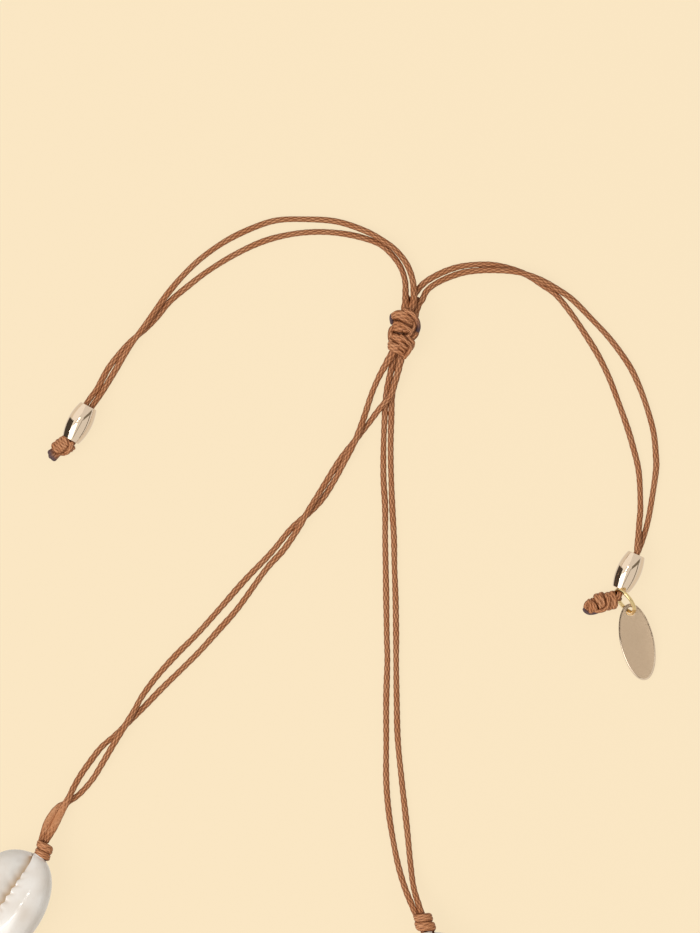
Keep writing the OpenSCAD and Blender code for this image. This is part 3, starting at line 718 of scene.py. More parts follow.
# Single strands on the end knots: half thickness, how far each end is melted, and points
LEFT_END_STRANDS = [
    (0.48, (0, 0), [(-0.6, 0.25, 1.3), (0.1, 0.7, 1.4), (0.8, 1.02, 1.15), (1.5, 1.05, 0.85),
                    (2.05, 0.7, 0.6), (2.4, 0.3, 0.2)]),
    (0.55, (0, 0.9), [(1.8, -0.7, -0.2), (2.6, -0.75, -0.2), (3.5, -0.8, -0.3), (4.3, -0.85, -0.4)]),
    (0.5, (0, 0.9), [(1.8, -0.2, -0.2), (2.6, -0.2, -0.1), (3.5, -0.25, -0.15), (4.6, -0.3, -0.3)]),
    (0.55, (0, 0.9), [(1.8, 0.1, -0.2), (2.7, 0.2, -0.2), (3.6, 0.28, -0.3), (4.5, 0.3, -0.4)])]
RIGHT_END_STRANDS = [
    (0.42, (0, 0), [(0.25, -1.1, 1.55), (0.5, -0.4, 1.95), (0.75, 0.3, 1.85), (1.35, 0.8, 1.4),
                    (2.4, 0.95, 1.0), (3.6, 0.6, 0.7), (4.5, 0.15, 0.35)]),
    (0.5, (0, 0), [(3.7, -1.25, 0.5), (4.3, -0.95, 0.4), (4.7, -0.45, 0.2), (4.8, 0.05, 0)]),
    (0.5, (0, 0), [(3.6, 0.3, 0.2), (4.2, 0.3, 0.2), (4.9, 0.05, 0.1)]),
    (0.3, (4, 2.5), [(5.12, -0.45, 0.2), (5.08, 0.15, 0.35), (4.65, 0.68, 0.55), (4.0, 0.93, 0.75),
                     (3.3, 1.0, 0.75), (2.7, 0.98, 0.5)])]

# Deep creases between the end knots' windings, darkened with painted shade, as points along and across each
# knot
LEFT_END_CREASES = [
    [(-0.13, -0.67), (0.26, 0.19), (0.64, 0.47), (1.06, 0.56), (1.72, 0.66), (2.39, 0.52), (2.72, 0.19)],
    [(3.28, -1.4), (3.34, -0.92), (3.18, -0.33), (2.91, 0.14)],
    [(-0.35, -1.31), (-0.86, -0.34), (-0.99, 0.61)]]
RIGHT_END_CREASES = [
    [(1.2, -1.9), (1.15, -1.47), (1.03, -0.85), (0.98, -0.24), (1.19, 0.28), (1.65, 0.61), (2.26, 0.68)],
    [(3.35, -1.67), (3.22, -1.22), (2.89, -0.82), (2.51, -0.3)]]


class NECKLACE_OT_small_knots(bpy.types.Operator):
    """Ties the nine small knots of doubled cord before, between and after the shells"""
    bl_idname = "necklace.small_knots"
    bl_label = "Small Knots"

    def execute(self, context):
        knots, headings, _ = chain()
        between = [(a + b) / 2 for a, b in zip(headings, headings[1:])]
        ways = [FIRST_KNOT_HEADING, *between, LAST_KNOT_HEADING]
        for i, (spot, heading) in enumerate(zip(knots, ways)):
            # Each is tied by hand: its windings start at their own angle, and the last one is the largest.
            start = 14 * math.sin(2.4 * i)
            size = LAST_KNOT_SIZE if i == SHELL_COUNT else 1 + 0.05 * math.sin(1.7 * i)
            line, outward, band = wound_line([(start + turn, *rest) for turn, *rest in SMALL_KNOT_TURNS])
            bm = bmesh.new()
            add_pair(bm, line, outward, band, apart=0.62)
            bmesh.ops.scale(bm, vec=(size, size, size), verts=bm.verts)
            finish_piece(f"tied_knot_{i + 1}", bm, placed(*spot, THREAD_HEIGHT, heading), [cord_material()],
                         [f"shell_knot_{i + 1}"])
        return {"FINISHED"}


class NECKLACE_OT_end_knots(bpy.types.Operator):
    """Ties the knot at the end of each doubled tail, with its melted ends"""
    bl_idname = "necklace.end_knots"
    bl_label = "End Knots"

    def execute(self, context):
        for node, turns, strands, creases in (
                ("left_end_knot", LEFT_END_TURNS, LEFT_END_STRANDS, LEFT_END_CREASES),
                ("right_end_knot", RIGHT_END_TURNS, RIGHT_END_STRANDS, RIGHT_END_CREASES)):
            line, outward, band = wound_line(turns)
            bm = bmesh.new()
            add_pair(bm, line, outward, band, apart=0.82)
            add_strands(bm, strands)
            press_shaded_creases(bm, creases, 0)
            finish_piece(STANDS_FOR[node], bm, node_place(node, END_KNOT_HEIGHT), [cord_material()],
                         [node])
        return {"FINISHED"}


# The sliding knot's outline: y in the frame, left and right edge, half of its depth, in mm
SLIDE_KNOT_OUTLINE = [
    (91.9, 19.6, 22.4, 1.6), (91.4, 18.8, 22.4, 2.0), (90.8, 18.2, 22.8, 2.2), (89.8, 18.25, 23.3, 2.3),
    (88.9, 18.45, 23.5, 2.4), (88.0, 18.6, 23.3, 2.3), (87.2, 18.35, 22.9, 2.4), (86.4, 18.1, 22.6, 2.2),
    (85.3, 17.7, 22.4, 2.3), (84.5, 17.95, 21.9, 2.1), (83.8, 18.3, 21.4, 1.8), (83.1, 18.8, 20.8, 1.4)]
SLIDE_KNOT_HEIGHT = 2.4

# Its winding: turn in degrees (180 is left, 90 up, 0 right), y, share of the outline's radius, and half of the
# band's height
SLIDE_KNOT_TURNS = [
    (214, 90.2, 0.9, 0.5), (180, 90.5, 1.0, 0.58), (150, 90.7, 1.0, 0.72), (120, 90.85, 1.02, 0.9),
    (95, 90.7, 1.02, 0.98), (60, 89.85, 1.0, 0.85), (30, 89.1, 0.95, 0.75), (0, 88.6, 0.9, 0.7),
    (-45, 88.3, 0.95, 0.8), (-90, 88.4, 1.0, 0.85), (-140, 88.8, 0.98, 0.95), (-180, 88.85, 0.96, 1.0),
    (-220, 88.8, 1.0, 1.02), (-265, 88.6, 1.0, 0.98), (-300, 88.1, 1.0, 0.85), (-330, 87.7, 1.0, 0.75),
    (-360, 87.4, 1.0, 0.75), (-450, 87.1, 1.0, 0.7), (-520, 87.0, 0.97, 0.6), (-545, 86.95, 0.98, 0.62),
    (-575, 86.85, 1.0, 0.75), (-605, 86.5, 1.0, 0.85), (-635, 86.0, 1.0, 0.88), (-665, 85.4, 1.0, 0.85),
    (-695, 85.0, 1.0, 0.8), (-720, 84.9, 0.95, 0.75), (-810, 85.0, 1.0, 0.8), (-870, 85.3, 1.0, 0.82),
    (-900, 85.35, 1.0, 0.85), (-935, 85.15, 1.02, 0.92), (-965, 84.85, 1.02, 0.92), (-990, 84.55, 1.0, 0.88),
    (-1020, 84.05, 0.98, 0.8), (-1050, 83.65, 0.92, 0.72), (-1085, 83.6, 0.85, 0.65), (-1130, 84.2, 0.7, 0.6),
    (-1160, 85.6, 0.6, 0.6)]

# Single strands over its windings: half thickness, how far each end is melted, and points
SLIDE_KNOT_STRANDS = [
    # The melted end of the first winding, pressed flat down the left edge
    (0.32, (4, 4), [(18.6, 91.1, 2.6), (18.42, 90.5, 2.9), (18.45, 89.8, 2.95), (18.65, 89.1, 2.7)]),
    # Over the shoulder on the right, with its melted end
    (0.42, (0, 2.3), [(20.5, 91.9, 3.6), (21.4, 91.5, 4.3), (22.2, 91.1, 4.75), (22.8, 90.4, 4.7),
                      (23.2, 89.55, 4.3), (23.3, 88.7, 3.9), (23.1, 87.9, 3.5), (22.8, 87.4, 3.2)]),
    # Inside that loop
    (0.36, (0, 0), [(22.7, 89.8, 3.9), (22.75, 89.0, 4.45), (22.35, 88.0, 4.75), (21.8, 87.3, 4.7),
                    (21.2, 86.8, 4.1)]),
    # Across the second winding
    (0.36, (0, 0), [(19.8, 89.3, 4.2), (20.4, 89.1, 4.75), (21.1, 88.7, 5.0), (21.8, 88.2, 4.9),
                    (22.3, 87.8, 4.3)]),
    # The bulge on the left
    (0.52, (0, 0), [(18.9, 88.8, 2.9), (18.4, 88.1, 3.3), (18.25, 87.2, 3.4), (18.4, 86.3, 3.2),
                    (18.8, 85.8, 2.8)]),
    # The bulge on the right, under the melted end
    (0.5, (0, 0), [(22.6, 88.9, 3.0), (23.0, 88.1, 3.3), (22.85, 87.3, 3.6), (22.3, 86.7, 3.8),
                   (21.5, 86.4, 3.8)]),
    # Down the right side
    (0.42, (0, 0), [(19.9, 87.2, 4.2), (20.8, 86.45, 4.8), (21.55, 85.7, 4.7), (21.9, 85.0, 4.3),
                    (21.6, 84.25, 3.9), (21.0, 83.5, 3.3), (20.7, 83.0, 2.6)]),
    (0.42, (0, 0), [(20.7, 87.1, 4.2), (21.7, 86.5, 4.5), (22.3, 85.9, 4.2), (22.2, 85.2, 3.6),
                    (21.8, 84.5, 3.0)])]

# How far the strands inside it lie within its outline, sideways and in depth, in mm
CORE_INSET = (0.2, 1.05)
# Dark cords between the tails where they leave it, painted shade that fills the shaded gaps there: half
# thickness and points
SLIDE_KNOT_SHADE_FILLERS = [
    (0.4, [(21.5, 91.5, 2.3), (21.45, 92.6, 2.1), (21.4, 93.6, 1.7), (21.35, 94.6, 1.3)]),
    (0.36, [(22.6, 91.6, 1.6), (22.95, 92.6, 1.3), (23.1, 93.4, 1.1), (23.3, 94.2, 0.9)])]

# Deep creases between its windings, darkened with painted shade, as points in the frame's plan
SLIDE_KNOT_CREASES = [
    [(18.75, 90.13), (19.24, 90.07), (19.78, 90.02), (20.25, 89.72), (20.72, 89.32), (21.25, 89.15),
     (21.72, 88.79), (21.96, 88.48)],
    [(18.37, 87.85), (18.84, 87.71), (19.24, 87.54), (19.65, 87.5), (19.93, 87.21)],
    [(20.38, 87.9), (20.76, 87.37), (21.08, 86.87), (21.48, 86.33)],
    [(21.08, 87.74), (21.46, 87.41), (21.88, 87.45)],
    [(22.69, 89.62), (22.77, 89.28), (22.96, 88.75), (22.69, 88.08), (22.33, 87.54)],
    [(18.11, 86.64), (18.71, 86.33), (19.24, 85.93), (19.71, 85.6)],
    [(20.85, 85.8), (21.29, 85.44), (21.72, 85.06)],
    [(19.65, 84.77), (20.05, 84.5), (20.52, 84.15)]]


class NECKLACE_OT_slide_knot(bpy.types.Operator):
    """Winds the sliding knot of doubled cord round the four strands, with its melted ends"""
    bl_idname = "necklace.slide_knot"
    bl_label = "Sliding Knot"

    def execute(self, context):
        rows = through(SLIDE_KNOT_TURNS, 24)
        turn, y, share, band = np.radians(rows[:, 0]), rows[:, 1], rows[:, 2], rows[:, 3]
        outline = np.array(SLIDE_KNOT_OUTLINE)[::-1]
        left, right, depth = (np.interp(y, outline[:, 0], outline[:, k]) for k in (1, 2, 3))
        x = (left + right) / 2 + ((right - left) / 2 - TIGHT_RADIUS) * share * np.cos(turn)
        z = SLIDE_KNOT_HEIGHT + (depth - TIGHT_RADIUS) * share * np.sin(turn)
        rows = evenly(np.stack([x, y, z, np.cos(turn), 0 * turn, np.sin(turn), band], axis=1), CORD_STEP)
        rightness = (rows[:, 3] + 1) / 2
        bm = bmesh.new()
        add_pair(bm, rows[:, :3], rows[:, 3:6], rows[:, 6], apart=0.6 + 0.35 * rightness, melted=(1.3, 0))
        add_strands(bm, SLIDE_KNOT_STRANDS)
        # The strands inside, which close the gaps between the wraps, drawn dark with painted shade
        core = [((low + high) / 2, middle, SLIDE_KNOT_HEIGHT) for middle, low, high, _ in outline[1:-1]]
        core = evenly(np.array(core), CORD_STEP)
        half_width = (outline[:, 2] - outline[:, 1]) / 2 - CORE_INSET[0]
        core_width = np.interp(core[:, 1], outline[:, 0], half_width)
        core_depth = np.interp(core[:, 1], outline[:, 0], outline[:, 3] - CORE_INSET[1])
        add_cord(bm, core, core_width, core_depth, shade=INNER_SHADE)
        # Painted shade: dark cords fill the shaded gaps between the tails.
        for thick, points in SLIDE_KNOT_SHADE_FILLERS:
            add_cord(bm, evenly(through(points), CORD_STEP), thick, thick, shade=INNER_SHADE)
        press_shaded_creases(bm, SLIDE_KNOT_CREASES, SLIDE_KNOT_HEIGHT)
        finish_piece("wound_slide_knot", bm, placed(), [cord_material()], ["slide_knot"])
        return {"FINISHED"}


class NECKLACE_OT_shell_thread(bpy.types.Operator):
    """Threads the doubled cord through the shells, from knot to knot"""
    bl_idname = "necklace.shell_thread"
    bl_label = "Shell Thread"

    def execute(self, context):
        knots, headings, pitch = chain()
        radius = settings().cord.diameter / MM / 2
        bm = bmesh.new()
        for spot, heading in zip(knots, headings):
            way = direction(heading)
            for side in (-THREAD_ASIDE, THREAD_ASIDE):
                start = spot + way * THREAD_START + side * direction(heading + 90)
                end = start + way * (pitch - 2 * THREAD_START)
                line = evenly(np.array([[*start, THREAD_HEIGHT], [*end, THREAD_HEIGHT]]), THREAD_STEP)
                add_cord(bm, line, radius, radius, sides=10)
        finish_piece("shell_thread", bm, placed(), [cord_material()], ["shell_cord"])
        return {"FINISHED"}


def shell_material():
    """Cowrie shell, polished by the animal itself: porcelain-like enamel over a chalky body, white on the
    teeth, warmer in broad patches, with random specks, and with painted shade in the slit, between the teeth
    and inside."""
    shell = settings().shell
    material, tree, shader = new_material("cowrie_enamel")
    place = node_in(tree, "ShaderNodeTexCoord")
    slit_shade = node_in(tree, "ShaderNodeAttribute", attribute_name="slit_shade")
    # Broad patches, 6 mm across, and a fine growth mottle of 1 mm
    broad = node_in(tree, "ShaderNodeTexNoise", {"Vector": place.outputs["Object"], "Scale": 160.0,
                                                 "Detail": 2.0, "Roughness": 0.5})
    mottle = node_in(tree, "ShaderNodeTexNoise", {"Vector": place.outputs["Object"], "Scale": 1000.0,
                                                  "Detail": 3.0, "Roughness": 0.6})
    blush = node_in(tree, "ShaderNodeMapRange", {"Value": broad.outputs["Fac"], "From Min": 0.4,
                                                 "From Max": 0.75, "To Min": 0.0, "To Max": 0.8})
    warm = node_in(tree, "ShaderNodeMix", {"Factor": blush.outputs["Result"], "A": solid(shell.colour),
                                           "B": solid(shell.blush_colour)}, data_type="RGBA")
    speck = node_in(tree, "ShaderNodeMapRange", {"Value": mottle.outputs["Fac"], "From Min": 0.55,
                                                 "From Max": 0.8, "To Min": 0.0, "To Max": 0.1})
    speckled = node_in(tree, "ShaderNodeMix", {"Factor": speck.outputs["Result"],
                                               "A": warm.outputs["Result"],
                                               "B": solid(shell.slit_shade_and_speck_colour)}, data_type="RGBA")
    # Painted shade, darkest in the slit and the hollow
    slit_shaded = node_in(tree, "ShaderNodeMix", {"Factor": slit_shade.outputs["Fac"],
                                             "A": speckled.outputs["Result"],
                                             "B": solid(shell.slit_shade_and_speck_colour)}, data_type="RGBA")
    bump = node_in(tree, "ShaderNodeBump", {"Height": mottle.outputs["Fac"], "Strength": 0.12,
                                            "Distance": 0.0001})
    tree.links.new(slit_shaded.outputs["Result"], shader.inputs["Base Color"])
    tree.links.new(bump.outputs["Normal"], shader.inputs["Normal"])
    shader.inputs["Roughness"].default_value = 0.22
    shader.inputs["IOR"].default_value = 1.53
    shader.inputs["Coat Weight"].default_value = 0.9
    shader.inputs["Coat Roughness"].default_value = 0.04
    return material


def fullness(u, power):
    """How wide a shell is at a share of its length, from 0 at its ends to 1 at its middle."""
    return np.sqrt(np.maximum(0, 1 - np.abs(2 * u - 1) ** power))


# How many stations a shell has along it, and how many points each stretch of its section has
SHELL_STATIONS = 110
DOME_POINTS = 22
CREST_POINTS = 20
LIP_POINTS = 5
# How far each half's crest starts from the knot's middle, and the dome between them, in mm
SHELL_STARTS = {1: 1.3, -1: 2.1}
DOME_START = 1.5
# The radius of the hole at each end, the wall there, and how far the widest line rises in the middle, in mm
SHELL_HOLE = 1.25
END_WALL = 0.5
SHELL_RISE = 1.2
# How far the slit lies beside the middle, towards the shell's ends and at its middle, and how much further it
# bends aside at the very ends, in mm
END_SHIFT = 0.6
SLIT_SHIFT = 0.9
END_BEND = 0.4
# How much of the hollow's half outline is its ceiling
CEILING_SHARE = 0.45
# Each half's lip, in mm: where its edge lies from the slit's middle, how wide and deep its shoulder rolls down
# to the slit and how sharply, and how full the half is. Then its teeth: how long they are, how deep the
# grooves between them, how far they stand out over the slit, how they fan out and where they start. Last,
# between which shares of the shoulder's drop the slit's painted shade sets in. The outer lip runs on under
# the inner one.
LIPS = {
    1: {"edge": 0.1, "roll": 5.5, "drop": 1.7, "bend": 1.8, "round": 3.0, "teeth": 1.7, "relief": 0.12,
        "reach": 0.5, "slant": 1.2, "phase": 0.29, "shade_from": 0.9, "shade_to": 1.4},
    -1: {"edge": 0.9, "roll": 3.5, "drop": 2.2, "bend": 1.6, "round": 2.0, "teeth": 4.2, "relief": 0.24,
         "reach": 0.0, "slant": 0.8, "phase": 0.8, "shade_from": 0.12, "shade_to": 0.7},
}


def eased(value):
    """A value held between 0 and 1, with a soft start and end."""
    value = np.clip(value, 0, 1)
    return value * value * (3 - 2 * value)


def shell_half(u, side, pitch, phase):
    """One half of a shell at all its stations, from the middle of the dome over the crest and round the lip
    to the middle of the hollow. Returns its points and how much painted shade each has, from 0 to 1: in the
    slit, between the teeth and all over the hollow."""
    shell = settings().shell
    lip = LIPS[side]
    wide = fullness(u, 2)
    half = (shell.inner_half if side > 0 else shell.outer_half) / MM * fullness(u, 2 if side > 0 else 3.2)
    half = np.maximum(half, SHELL_HOLE)
    waist = THREAD_HEIGHT + SHELL_RISE * wide
    top = np.maximum((shell.height / MM - THREAD_HEIGHT - SHELL_RISE) * fullness(u, 3), SHELL_HOLE)
    base = np.maximum((THREAD_HEIGHT + SHELL_RISE) * wide, SHELL_HOLE)
    wall = END_WALL + (shell.wall / MM - END_WALL) * wide ** 2
    shift = END_SHIFT + (SLIT_SHIFT - END_SHIFT) * wide
    ending = eased((wide - 0.3) / 0.35)
    toothed = eased((wide - 0.62) / 0.3)[:, None]
    # The outer lip draws back towards the ends, where the slit closes up.
    drawn = 0.35 + 0.65 * ending if side < 0 else 1
    edge = -shift - END_BEND * (1 - ending) + lip["edge"] * drawn
    start = SHELL_STARTS[side]
    x0 = np.interp(u, [0, 0.5, 1], [start, pitch / 2, pitch - start])

    def contour(y, grown):
        """Heights of the outer surface at y, or of the hollow's ceiling where the shell is grown less."""
        share = np.clip(y / (half - grown)[:, None], -1, 1)
        power = lip["round"]
        return waist[:, None] + (top - grown)[:, None] * (1 - np.abs(share) ** power) ** (1 / power)

    angle = np.linspace(np.pi, np.pi / 2, DOME_POINTS)[None]
    dome_y = side * half[:, None] * np.sin(angle)
    dome_z = waist[:, None] + base[:, None] * np.cos(angle)
    # From the widest point over the crest and down to the slit, closer together towards the slit
    reach = (side * half - edge) * side
    s = np.linspace(0, 1, CREST_POINTS + 1)[1:][None]
    d = reach[:, None] * (1 - np.sin(s * np.pi / 2) ** 0.85)
    crest_y = edge[:, None] + side * d
    roll = np.minimum(lip["roll"], 0.75 * reach)[:, None]
    drop_all = lip["drop"] * np.clip(wide * 1.4, 0.25, 1)[:, None]
    inside = np.clip(1 - d / roll, 0, 1)
    drop = drop_all * inside ** lip["bend"]
    crest_z = contour(crest_y, 0 * wide) - drop
    # Teeth: ridges that fan out from the middle of the shell
    x = x0[:, None] + 0 * d
    slant = lip["slant"] * np.cos(np.pi * u)[:, None]
    wave = (x + slant * d) / (shell.tooth_pitch / MM) + phase + lip["phase"]
    ridge = np.abs(np.cos(np.pi * wave)) ** 0.8
    fade = eased(1 - d / lip["teeth"]) * toothed
    crest_z = crest_z - lip["relief"] * (1 - ridge) * fade
    near = np.exp(-(d / 0.6) ** 2) * toothed
    crest_y = crest_y - side * lip["reach"] * (ridge - 0.5) * near
    # Painted shade: darker down the shoulder into the slit, and a little between the teeth
    slope_shade = eased((drop / drop_all - lip["shade_from"]) / (lip["shade_to"] - lip["shade_from"]))
    slit_shade = np.clip(0.25 * (1 - ridge) * fade + 0.85 * slope_shade, 0, 1)
    # Under the lip and back along the ceiling of the hollow
    turn = np.linspace(0, 1, LIP_POINTS + 2)[1:-1][None]
    under_y = crest_y[:, -1:] + side * (0.7 * roll + 0.5) * turn ** 2
    ceiling_z = contour(edge[:, None] + side * roll, wall)
    lip_z = crest_z[:, -1:] - 0.5 * np.sin(np.pi * turn)
    under_z = lip_z + (np.minimum(ceiling_z, lip_z) - lip_z) * turn ** 2
    back = np.linspace(0, 1, DOME_POINTS)[None]
    far_y = side * (half - wall)[:, None]
    upper = np.clip(back / CEILING_SHARE, 0, 1) * np.pi / 2
    ceiling_y = under_y[:, -1:] + (far_y - under_y[:, -1:]) * np.sin(upper)
    lower = np.clip((back - CEILING_SHARE) / (1 - CEILING_SHARE), 0, 1) * np.pi / 2
    floor_y = far_y * np.cos(lower)
    floor_z = waist[:, None] - (base - wall)[:, None] * np.sin(lower)
    hollow_y = np.where(back < CEILING_SHARE, ceiling_y, floor_y)
    hollow_z = np.where(back < CEILING_SHARE, contour(ceiling_y, wall), floor_z)
    y = np.hstack([dome_y, crest_y, under_y, hollow_y])
    z = np.hstack([dome_z, crest_z, under_z, hollow_z])
    # Painted shade: full under the lip and all over the hollow
    dark = np.hstack([0 * dome_y, slit_shade, 1 + 0 * under_y, 1 + 0 * hollow_y])
    # The two halves start at their own distance, and share the dome's middle
    level = np.clip((z - waist[:, None]) / top[:, None], -1, 1) * 0.5 + 0.5
    common = np.interp(u, [0, 0.5, 1], [DOME_START, pitch / 2, pitch - DOME_START])[:, None]
    x = common + (x0[:, None] - common) * level
    return np.stack([x, y, z], axis=2), dark


def add_shell(bm, pitch, seed):
    """Adds one cowrie shell along +X from its first small knot, slit up, as one wall with its hollow."""
    # Stations lie closer together towards the ends, and stop just short of them
    t = np.linspace(0, 1, SHELL_STATIONS)
    u = 0.5 * t + 0.25 * (1 - np.cos(np.pi * t))
    u = 0.008 + 0.984 * u
    # The teeth of each shell start at a place of their own
    phase = 0.37 * seed
    right, right_dark = shell_half(u, 1, pitch, phase)
    left, left_dark = shell_half(u, -1, pitch, phase)
    # The halves meet at the dome's middle and at the hollow's middle
    points = np.concatenate([right[:, :-1], left[:, :0:-1]], axis=1)
    dark = np.concatenate([right_dark[:, :-1], left_dark[:, :0:-1]], axis=1)
    rolled_grid(bm, points, (1.0, 1.0), {"slit_shade": dark})
    bmesh.ops.holes_fill(bm, edges=[e for e in bm.edges if e.is_boundary], sides=0)


class NECKLACE_OT_shells(bpy.types.Operator):
    """Makes the eight cowrie shells of the chain, slit up, each with its own teeth"""
    bl_idname = "necklace.shells"
    bl_label = "Shells"

    def execute(self, context):
        knots, headings, pitch = chain()
        material = material_named("cowrie_enamel", shell_material)
        for i, (spot, heading) in enumerate(zip(knots, headings)):
            bm = bmesh.new()
            add_shell(bm, pitch, i)
            finish_piece(f"cowrie_{i + 1}", bm, placed(*spot, 0, heading), [material],
                         [f"shell_{i + 1}"])
        return {"FINISHED"}


def gold_material(name, colour, roughness, bump_height):
    """Brass plated with pale gold. Polished, it mirrors the room. Satin, fine grit leaves it a soft sheen."""
    material, tree, shader = new_material(name)
    place = node_in(tree, "ShaderNodeTexCoord")
    # Grit marks 0.1 mm apart show only as a slight softness, and handling dulls patches of 2 mm.
    grit = node_in(tree, "ShaderNodeTexNoise", {"Vector": place.outputs["Object"], "Scale": 9000.0,
                                                "Detail": 2.0, "Roughness": 0.5})
    handling = node_in(tree, "ShaderNodeTexNoise", {"Vector": place.outputs["Object"], "Scale": 500.0,
                                                    "Detail": 4.0, "Roughness": 0.6})
    dull = node_in(tree, "ShaderNodeMapRange", {"Value": handling.outputs["Fac"], "From Min": 0.3,
                                                "From Max": 0.8, "To Min": roughness,
                                                "To Max": roughness * 1.08 + 0.01})
    bump = node_in(tree, "ShaderNodeBump", {"Height": grit.outputs["Fac"], "Strength": 0.25,
                                            "Distance": bump_height})
    tree.links.new(dull.outputs["Result"], shader.inputs["Roughness"])
    tree.links.new(bump.outputs["Normal"], shader.inputs["Normal"])
    shader.inputs["Base Color"].default_value = solid(colour)
    shader.inputs["Metallic"].default_value = 1.0
    return material


def polished_gold():
    """The beads' mirror plating."""
    metal = settings().metal
    return material_named("polished_pale_gold_plate", lambda: gold_material(
        "polished_pale_gold_plate", metal.polished_colour, 0.065, 0.0000002))


def sharp_edges(bm, angle):
    """The edges whose faces turn by more than an angle in radians."""
    return [e for e in bm.edges if len(e.link_faces) == 2 and e.calc_face_angle(0) > angle]


# The beads: stations along a bead and steps round it, and how far its rims are rounded, in mm
BEAD_STATIONS = 81
BEAD_STEPS = 192
BEAD_RIM = 0.09


class NECKLACE_OT_beads(bpy.types.Operator):
    """Turns the two barrel beads, with rounded rims and the hole for the doubled cord"""
    bl_idname = "necklace.beads"
    bl_label = "Beads"

    def execute(self, context):
        metal = settings().metal
        length, middle, end, bore = (v / MM for v in (metal.bead_length, metal.bead_diameter,
                                                      metal.bead_end, metal.bead_bore))
        bulge = (middle - end) / 2
        arc = ((length / 2) ** 2 + bulge ** 2) / (2 * bulge)
        xs = np.linspace(-length / 2, length / 2, BEAD_STATIONS)
        profile = [(x, math.sqrt(arc ** 2 - x ** 2) - arc + middle / 2) for x in xs]
        profile += [(length / 2, bore / 2), (0, bore / 2), (-length / 2, bore / 2)]
        for node in ("left_bead", "right_bead"):
            bm = bmesh.new()
            verts = [bm.verts.new((x, 0, r)) for x, r in profile]
            edges = [bm.edges.new((a, b)) for a, b in zip(verts, verts[1:] + verts[:1])]
            bmesh.ops.spin(bm, geom=verts + edges, cent=(0, 0, 0), axis=(1, 0, 0), angle=FULL_TURN,
                           steps=BEAD_STEPS, use_merge=True, use_duplicate=False)
            bmesh.ops.bevel(bm, geom=sharp_edges(bm, 0.9), offset=BEAD_RIM, segments=4, profile=0.5,
                            affect="EDGES", material=-1)
            finish_piece(STANDS_FOR[node], bm, node_place(node, middle / 2), [polished_gold()],
                         [node], sharp_degrees=50)
        return {"FINISHED"}


# The ring's cut: how wide it is and where it lies round the ring, in degrees
RING_CUT = 3
RING_CUT_PLACE = 200


class NECKLACE_OT_ring(bpy.types.Operator):
    """Bends the jump ring of round wire, with the fine cut where it opens"""
    bl_idname = "necklace.ring"
    bl_label = "Jump Ring"

    def execute(self, context):
        metal = settings().metal
        bm = bmesh.new()
        radius = metal.ring_wire / MM / 2
        wire = bmesh.ops.create_circle(bm, segments=20, radius=radius, cap_ends=True)["verts"]
        upright = Matrix.Rotation(math.pi / 2, 3, "X")
        bmesh.ops.rotate(bm, verts=wire, cent=(0, 0, 0), matrix=upright)
        bmesh.ops.translate(bm, verts=wire, vec=(metal.ring_radius / MM, 0, 0))
        to_cut = Matrix.Rotation(math.radians(RING_CUT_PLACE), 3, "Z")
        bmesh.ops.rotate(bm, verts=wire, cent=(0, 0, 0), matrix=to_cut)
        bmesh.ops.spin(bm, geom=bm.verts[:] + bm.edges[:] + bm.faces[:], cent=(0, 0, 0), axis=(0, 0, 1),
                       angle=FULL_TURN - math.radians(RING_CUT), steps=96, use_merge=False,
                       use_duplicate=False)
        place = node_place("jump_ring", RING_HEIGHT) @ Matrix.Rotation(math.radians(RING_LEAN), 4, "X")
        material = material_named("polished_yellow_gold_plate", lambda: gold_material(
            "polished_yellow_gold_plate", metal.ring_colour, 0.06, 0.000001))
        finish_piece(STANDS_FOR["jump_ring"], bm, place, [material], ["jump_ring"],
                     sharp_degrees=60)
        return {"FINISHED"}


# The tag: sides of its outline and its hole, how far the hole lies from the tag's end, how far the rims are
# rounded and how deep both faces are dished by the press, in mm
TAG_SIDES = 192
TAG_HOLE_PLACE = 1.35
TAG_RIM = 0.31
TAG_DISH = 0.1


